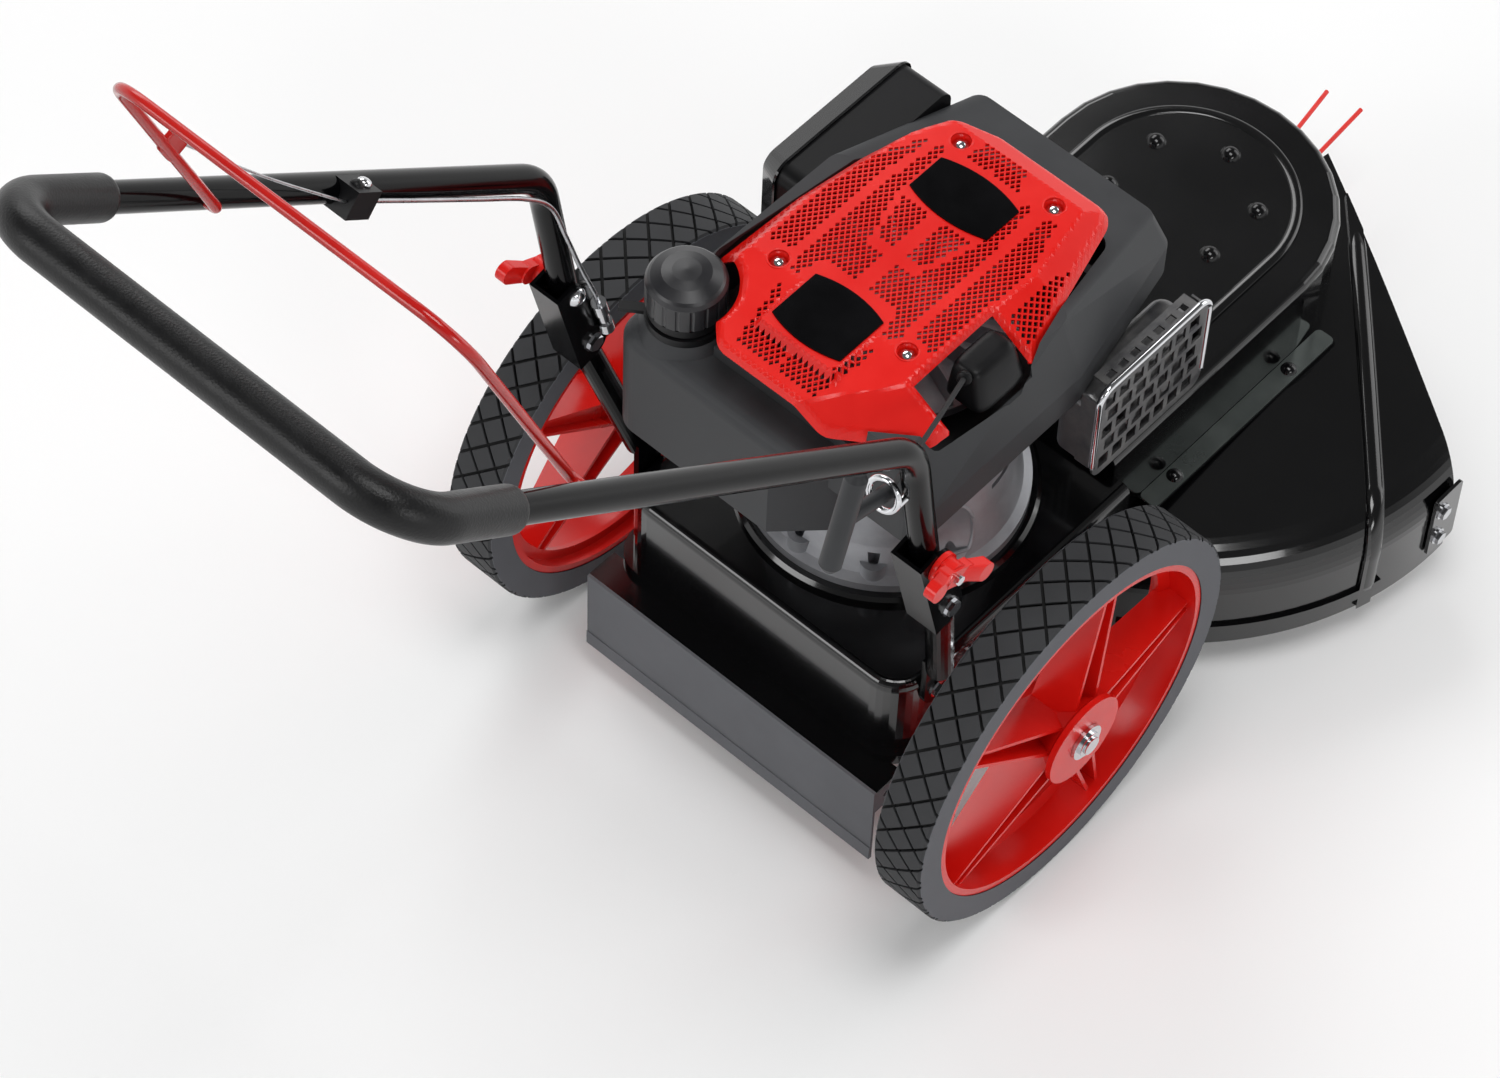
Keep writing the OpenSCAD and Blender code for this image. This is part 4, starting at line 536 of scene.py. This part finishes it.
def turned(name, profile, middle, finish, steps=48):
    """A profile of (radius, height) pairs carried round an upright axis through a middle point."""
    r, z = np.array(profile, float).T
    turn = np.linspace(0, 2 * np.pi, steps, endpoint=False)
    ring = np.stack(np.broadcast_arrays(r[:, None] * np.cos(turn), r[:, None] * np.sin(turn), z[:, None]), -1)
    return put_mesh(name, ring + np.asarray(middle, float), grid_faces(len(r), steps), finish)


worn(vented_cover("vented_cover", abs_red), "chassis", "engine_cover", slot="red_plastic")
# Section of a screw well as (radius, height above the roof), walked from its outside in
WELL_PROFILE = [(3.0, -9.0), (3.0, -10.0), (7.6, -10.0), (8.6, -2.4), (9.4, -0.6), (9.4, 0.1), (8.6, 0.0),
                (8.1, -1.0), (7.2, -8.4), (6.6, -9.0), (3.0, -9.0)]
for number, (wx, wy) in enumerate(WELLS):
    worn(turned(f"screw_well_{number + 1}", WELL_PROFILE, ENGINE + (wx, wy, ROOF), abs_red), "chassis",
         slot="red_plastic")

# Crankcase: cast bead round the dish in its wall, where a ball meets the cone of the wall

# Ball: radius, height and distance of its middle, its direction, and half the height of the cut
BALL_R, BALL_Z, BALL_OUT, BALL_WAY, DISH_HALF = 62, 50, 152, math.radians(-24), 30.3
CONE_Z, CONE_R = [12, 40, 84], [106, 100, 94]
dish_t = np.linspace(0, 2 * np.pi, 121)
dish_z = BALL_Z + DISH_HALF * np.sin(dish_t)
dish_r = np.interp(dish_z, CONE_Z, CONE_R)
dish_cos = (dish_r ** 2 + BALL_OUT ** 2 + (dish_z - BALL_Z) ** 2 - BALL_R ** 2) / (2 * BALL_OUT * dish_r)
dish_a = BALL_WAY + np.sign(np.cos(dish_t)) * np.arccos(np.clip(dish_cos, -1, 1))
dish_line = np.column_stack([dish_r * np.cos(dish_a), dish_r * np.sin(dish_a), dish_z]) + ENGINE
dish_line, _ = spaced(dish_line, 2.0)
dish_face = unit((math.cos(BALL_WAY), -0.41, 0.02))
worn(tube("dish_bead", dish_line, 1.8, cast_aluminium, dish_face, 16), "chassis", slot="cast_aluminium")


# Starter outlet: tapered socket and its rope bush

def lofted(name, levels, finish, power=0.4, steps=64):
    """Rounded sections stacked upwards: at each level (z, half x, half y, mid x, mid y) a superellipse.

    point = (mid x + half x C(a), mid y + half y S(a), z), with C and S the signed powers of cosine
    and sine.
    """
    z, half_x, half_y, mid_x, mid_y = np.array(levels, float).T[:, :, None]
    a = np.linspace(0, 2 * np.pi, steps, endpoint=False)[None]
    c, s = (signed_power(v, power) for v in (np.cos(a), np.sin(a)))
    points = np.stack(np.broadcast_arrays(mid_x + half_x * c, mid_y + half_y * s, z), -1) + ENGINE
    faces = grid_faces(len(levels), steps) + end_faces(len(levels), steps)
    return put_mesh(name, points, faces, finish)


SOCKET_LEVELS = [(234.2, 18.6, 26.6, 103, -25), (235, 19, 27, 103, -25), (240, 18.6, 26.6, 102.8, -25),
                 (256, 15.4, 24.2, 101, -25), (263, 13.6, 22.8, 100.2, -25), (266.4, 11.6, 21.2, 99.8, -25),
                 (267.8, 9.0, 18.6, 99.4, -25), (268, 5.0, 12.0, 99, -25)]
worn(lofted("rope_socket", SOCKET_LEVELS, nylon_black), "chassis", "starter_outlet", slot="black_plastic")
# Where the rope leaves the bush, its direction there, and the bush's radii over its rings
ROPE_AT, ROPE_OUT = np.array([104.0, -414.0, 489.0]), unit((14, -37, 16))
BUSH_RINGS, BUSH_R = [0, 7, 9, 11, 12], [4.6, 4.8, 6.0, 6.0, 5.0]
bush_line = ROPE_AT + np.linspace(-12.0, -0.2, 13)[:, None] * ROPE_OUT
bush_r = np.interp(np.arange(13), BUSH_RINGS, BUSH_R)
worn(tube("rope_bush", bush_line, bush_r, nylon_black, (1, 0, 0), 28), "chassis", slot="black_plastic")

# Muffler screen: rolled bright edge round its outer plate

SCREEN_X, SCREEN_Y, SCREEN_Z, SCREEN_ROUND, EDGE_R = 151, (56, 186), (92, 181), 14, 2.8
screen_line = filleted([(SCREEN_X, SCREEN_Y[0], SCREEN_Z[0]), (SCREEN_X, SCREEN_Y[0], SCREEN_Z[1]),
                        (SCREEN_X, SCREEN_Y[1], SCREEN_Z[1]), (SCREEN_X, SCREEN_Y[1], SCREEN_Z[0])],
                       [SCREEN_ROUND, SCREEN_ROUND])
screen_line, _ = spaced(screen_line + ENGINE, 2.5)
worn(tube("screen_edge", screen_line, EDGE_R, chrome, (1, 0, 0), 20), "chassis", slot="chrome")

# Belt cover: pressed bead round its raised panel

BEAD_R, BEAD_END, BEAD_Z = 92.0, -215.0, 236.8
around = np.linspace(0, np.pi, 60)
bead_arc = np.stack([BEAD_R * np.cos(around), BEAD_R * np.sin(around)], 1)
bead_line = np.vstack([[(BEAD_R, BEAD_END)], bead_arc, [(-BEAD_R, BEAD_END)]])
bead_line, _ = spaced(np.column_stack([bead_line, np.full(len(bead_line), BEAD_Z)]), 4.0)
worn(tube("panel_bead", bead_line, 2.0, enamel_black, (0, 0, 1), 24, wide=2.4), "chassis", slot="black_steel")

# Side guard: pressed rib that runs over the dome and down its wall

# Guard: radius, rolled edge and the roll's middle height; its top falls outwards from DOME_Z at DOME_R
GUARD_R, GUARD_ROLL, ROLL_Z = 292.0, 38.0, 95.9
DOME_R, DOME_Z, DOME_FALL, DOME_LEAN = 150.0, 146.9, 0.1236, 0.123
# Where the top passes into the roll, as a lean, and the rib's run down the upright wall
ROLL_LEAN, RIB_WALL = 0.21, (92.0, 52.0)
# Rib: line in plan, its two ends along it, height at the tip and beyond it, and length of the rise
RIB_AT, RIB_WAY = np.array([60.0, 162.0]), np.array([188.0, -209.0]) / math.hypot(188.0, 209.0)
RIB_FROM, RIB_TO, RIB_TIP, RIB_HIGH, RIB_RISE = 25.0, 329.0, 0.4, 3.9, 30.0
rib_run = np.linspace(RIB_FROM, RIB_TO, 160)
rib_plan = RIB_AT + rib_run[:, None] * RIB_WAY
rib_r = np.linalg.norm(rib_plan, axis=1)
lean = np.clip((rib_r - GUARD_R + GUARD_ROLL) / GUARD_ROLL, DOME_LEAN, 1.0)
rib_z = np.where(lean > ROLL_LEAN, ROLL_Z + GUARD_ROLL * np.sqrt(1 - lean ** 2),
                 DOME_Z - DOME_FALL * (rib_r - DOME_R))
rib_out = np.column_stack([lean[:, None] * rib_plan / rib_r[:, None], np.sqrt(1 - lean ** 2)])
wall_z = np.linspace(*RIB_WALL, 12)
rib_line = np.vstack([np.column_stack([rib_plan, rib_z]),
                      np.column_stack([np.tile(rib_plan[-1], (len(wall_z), 1)), wall_z])])
rib_out = np.vstack([rib_out, np.tile(np.append(rib_plan[-1] / rib_r[-1], 0.0), (len(wall_z), 1))])
rib_crown = RIB_TIP + (RIB_HIGH - RIB_TIP) * np.sqrt(np.clip((rib_run - RIB_FROM) / RIB_RISE, 0, 1))
rib_crown = np.append(rib_crown, np.full(len(wall_z), RIB_HIGH))
worn(tube("guard_rib", rib_line, rib_crown, enamel_black, rib_out, 32, wide=2.0), "chassis",
     slot="black_steel")

# Cable clamp: round-head screw on its upper face

# Way of the clamp up the arm, half its length and the cable's plane; the screw's place and its profile
CLAMP_UP, CLAMP_HALF, CABLE_X = 255.0, 14.3, 158
SCREW_IN, SCREW_DOWN, SCREW_UP = 14, 4.0, 11.2
SCREW_Z, SCREW_R = np.array([0.0, 0.4, 2.4, 3.6, 4.4, 4.8]), [5.4, 5.6, 5.2, 4.0, 2.2, 0.4]
CLAMP = bend_at + ARM * CLAMP_UP
FACE = np.array([0.0, ARM[2], -ARM[1]])
screw_at = (CLAMP - (SCREW_IN, 0, 0) - ARM * SCREW_DOWN + FACE * SCREW_UP) * MIRROR
screw_line = screw_at + SCREW_Z[:, None] * FACE
worn(tube("clamp_screw", screw_line, SCREW_R, chrome, (1, 0, 0), 28), "upper_handle", slot="chrome")

# Cords: starter rope, control wire and its sheath

# Radii of the bare wire, its sheath and the rope
WIRE_R, SHEATH_R, ROPE_R = 1.0, 1.8, 2.0
clamp_rear = (CLAMP * (0, 1, 1) + (CABLE_X, 0, 0) + ARM * CLAMP_HALF) * MIRROR
clamp_front = (CLAMP * (0, 1, 1) + (CABLE_X, 0, 0) - ARM * CLAMP_HALF) * MIRROR
wire_end = lug_at - unit(lug_at - clamp_rear) * 9.0
wire_line, wire_run = splined([wire_end, (wire_end + clamp_rear) / 2 - (0, 0, 4), clamp_rear], 4.0)
wire = tube("control_wire", wire_line, WIRE_R, bright_wire, (1, 0, 0), 12)
# The sheath runs down the left arm and round the bend to the adjuster on the strut
STRUT = unit((0.0, 66.0, -268.0))
adjuster = (fold_at + STRUT * 15.0 + (-20.6, 12, 0)) * MIRROR
SHEATH_POINTS = [(-161, -700, 728), (-161, -640, 675), (-161, -592, 632), (-160, -567, 600),
                 (-159, -553, 556), (-157, -540, 510), (-155.5, -527, 470)]
sheath_line, sheath_run = splined([clamp_front, *SHEATH_POINTS, adjuster - STRUT * 0.3], 4.0)
sheath = tube("control_sheath", sheath_line, SHEATH_R, bright_wire, (1, 0, 0), 16)
# The rope runs from the engine to the guide ring on the right arm, its tail on to the grip
ring_at = fold_at + RISE * 96.0 + (-14.0, -19.5, 0)
PULL = rearward(16)
rope_line, rope_run = splined([ROPE_AT, (118, -451, 505), (133, -491, 523), (148, -531, 542),
                               ring_at - PULL * 9.0], 3.0)
rope = tube("starter_rope_run", rope_line, ROPE_R, braid, (1, 0, 0), 16)
tail_line, tail_run = spaced(np.array([ring_at - PULL * 8.0, ring_at + PULL * 40.0]), 3.0)
rope_tail = tube("starter_rope_tail", tail_line, ROPE_R, braid, (1, 0, 0), 16)
for piece, hidden, slot in ((wire, "control_cable", "cable"), (sheath, "control_cable", "cable"),
                            (rope, "starter_rope", "rope")):
    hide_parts(hidden)
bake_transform(wire)
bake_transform(sheath)
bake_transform(rope)
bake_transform(rope_tail)


# Stage, light and camera

BACKGROUND, CEILING, WORLD_FILL = "#ffffff", 0.14, 0.36
# Floor: half its side, and where its own glow starts and is full, in metres, with the glow at both; the weak
# glow near the machine paints a broad shade round it
FLOOR_HALF, GLOW_FROM, GLOW_FULL, GLOW_LOW, GLOW_HIGH = 30, 1.2, 4.5, 0.02, 0.7


def seen_mask(tree):
    """One for camera, glossy and transmission rays, so that they meet the pale background."""
    path = add(tree, "LightPath")
    first = add(tree, "Math", {0: path.outputs["Is Camera Ray"], 1: path.outputs["Is Glossy Ray"]},
                operation="MAXIMUM").outputs[0]
    return add(tree, "Math", {0: first, 1: path.outputs["Is Transmission Ray"]},
               operation="MAXIMUM").outputs[0]


def ceiling(tree):
    """One at the horizon and below, falling smoothly to a dim studio ceiling overhead."""
    way = add(tree, "TexCoord").outputs["Generated"]
    height = add(tree, "SeparateXYZ", {0: way}).outputs["Z"]
    return add(tree, "MapRange", {"Value": height, "From Min": 0.12, "From Max": 0.6, "To Min": 1.0,
                                  "To Max": CEILING}, interpolation_type="SMOOTHSTEP").outputs["Result"]


world = bpy.data.worlds.new("studio")
bpy.context.scene.world = world
world.use_nodes = True
air = world.node_tree
air.nodes.clear()
fill = add(air, "Background", {"Color": linear(BACKGROUND), "Strength": WORLD_FILL})
pale = add(air, "Background", {"Color": linear(BACKGROUND), "Strength": ceiling(air)})
sky = add(air, "MixShader", {0: seen_mask(air), 1: fill.outputs[0], 2: pale.outputs[0]})
add(air, "OutputWorld", {"Surface": sky.outputs[0]})

floor_mesh = bpy.data.meshes.new("floor")
floor_mesh.from_pydata([(x * FLOOR_HALF, y * FLOOR_HALF, 0) for x, y in ((-1, -1), (1, -1), (1, 1), (-1, 1))],
                       [], [(0, 1, 2, 3)])
floor = bpy.data.objects.new("floor", floor_mesh)
bpy.context.scene.collection.objects.link(floor)
floor_paint, floor_tree = new_material("studio_floor")
lit = add(floor_tree, "BsdfDiffuse", {"Color": linear("#f2f2f2")})
floor_at = add(floor_tree, "TexCoord").outputs["Object"]
floor_way = add(floor_tree, "VectorMath", {0: floor_at}, operation="LENGTH").outputs["Value"]
# Painted shade round the machine: the floor's own glow is weakest near it and grows with distance
glow_with_painted_shade = add(floor_tree, "MapRange", {"Value": floor_way, "From Min": GLOW_FROM, "From Max": GLOW_FULL,
                                          "To Min": GLOW_LOW, "To Max": GLOW_HIGH}).outputs["Result"]
glow = add(floor_tree, "Emission", {"Color": linear(BACKGROUND), "Strength": glow_with_painted_shade})
bright = add(floor_tree, "AddShader", {0: lit.outputs[0], 1: glow.outputs[0]})
floor_mix = add(floor_tree, "MixShader", {0: seen_mask(floor_tree), 1: lit.outputs[0], 2: bright.outputs[0]})
add(floor_tree, "OutputMaterial", {"Surface": floor_mix.outputs[0]})
floor_mesh.materials.append(floor_paint)


def softbox(name, at, aim, size, power):
    """A rectangular lamp at a point, facing another, with its power in watts."""
    lamp = bpy.data.lights.new(name, "AREA")
    lamp.shape = "RECTANGLE"
    lamp.size, lamp.size_y = size
    lamp.energy = power
    holder = bpy.data.objects.new(name, lamp)
    back = unit(np.array(at, float) - np.array(aim, float))
    side = unit(np.cross((0.0, 1.0, 0.0), back))
    rows = np.column_stack([side, np.cross(back, side), back, at])
    holder.matrix_world = Matrix(rows.tolist() + [[0.0, 0.0, 0.0, 1.0]])
    bpy.context.scene.collection.objects.link(holder)


softbox("overhead", (0.5, -0.6, 4.0), (0.0, -0.4, 0.3), (1.8, 1.4), 51)
softbox("right_strip", (1.4, 3.3, 2.1), (0.2, -0.2, 0.2), (3.2, 2.0), 40)
softbox("rear_fill", (-1.1, -3.6, 2.3), (0.0, -0.6, 0.4), (1.8, 1.2), 32)
softbox("right_fill", (2.8, -1.4, 2.4), (0.2, -0.2, 0.2), (0.6, 1.4), 20)
softbox("left_strip", (-2.4, 1.0, 2.8), (0.0, -0.4, 0.4), (1.5, 2.6), 46)

# Camera fitted to the wheels, the deck and the handle in the photograph
camera_data = bpy.data.cameras.new("photo_camera")
camera_data.sensor_width = 36.0
camera_data.sensor_fit = "HORIZONTAL"
camera_data.lens = 127.9
camera_data.shift_x = 0.0047
camera_data.shift_y = -0.0253
camera_data.clip_end = 100.0
camera = bpy.data.objects.new("photo_camera", camera_data)
bpy.context.scene.collection.objects.link(camera)
camera.matrix_world = Matrix(((0.742, -0.5545, 0.3767, 1.4856), (0.6699, 0.5929, -0.4469, -2.2944),
                              (0.0245, 0.584, 0.8114, 3.5595), (0.0, 0.0, 0.0, 1.0)))
bpy.context.scene.camera = camera
bpy.context.scene.view_settings.view_transform = "Standard"
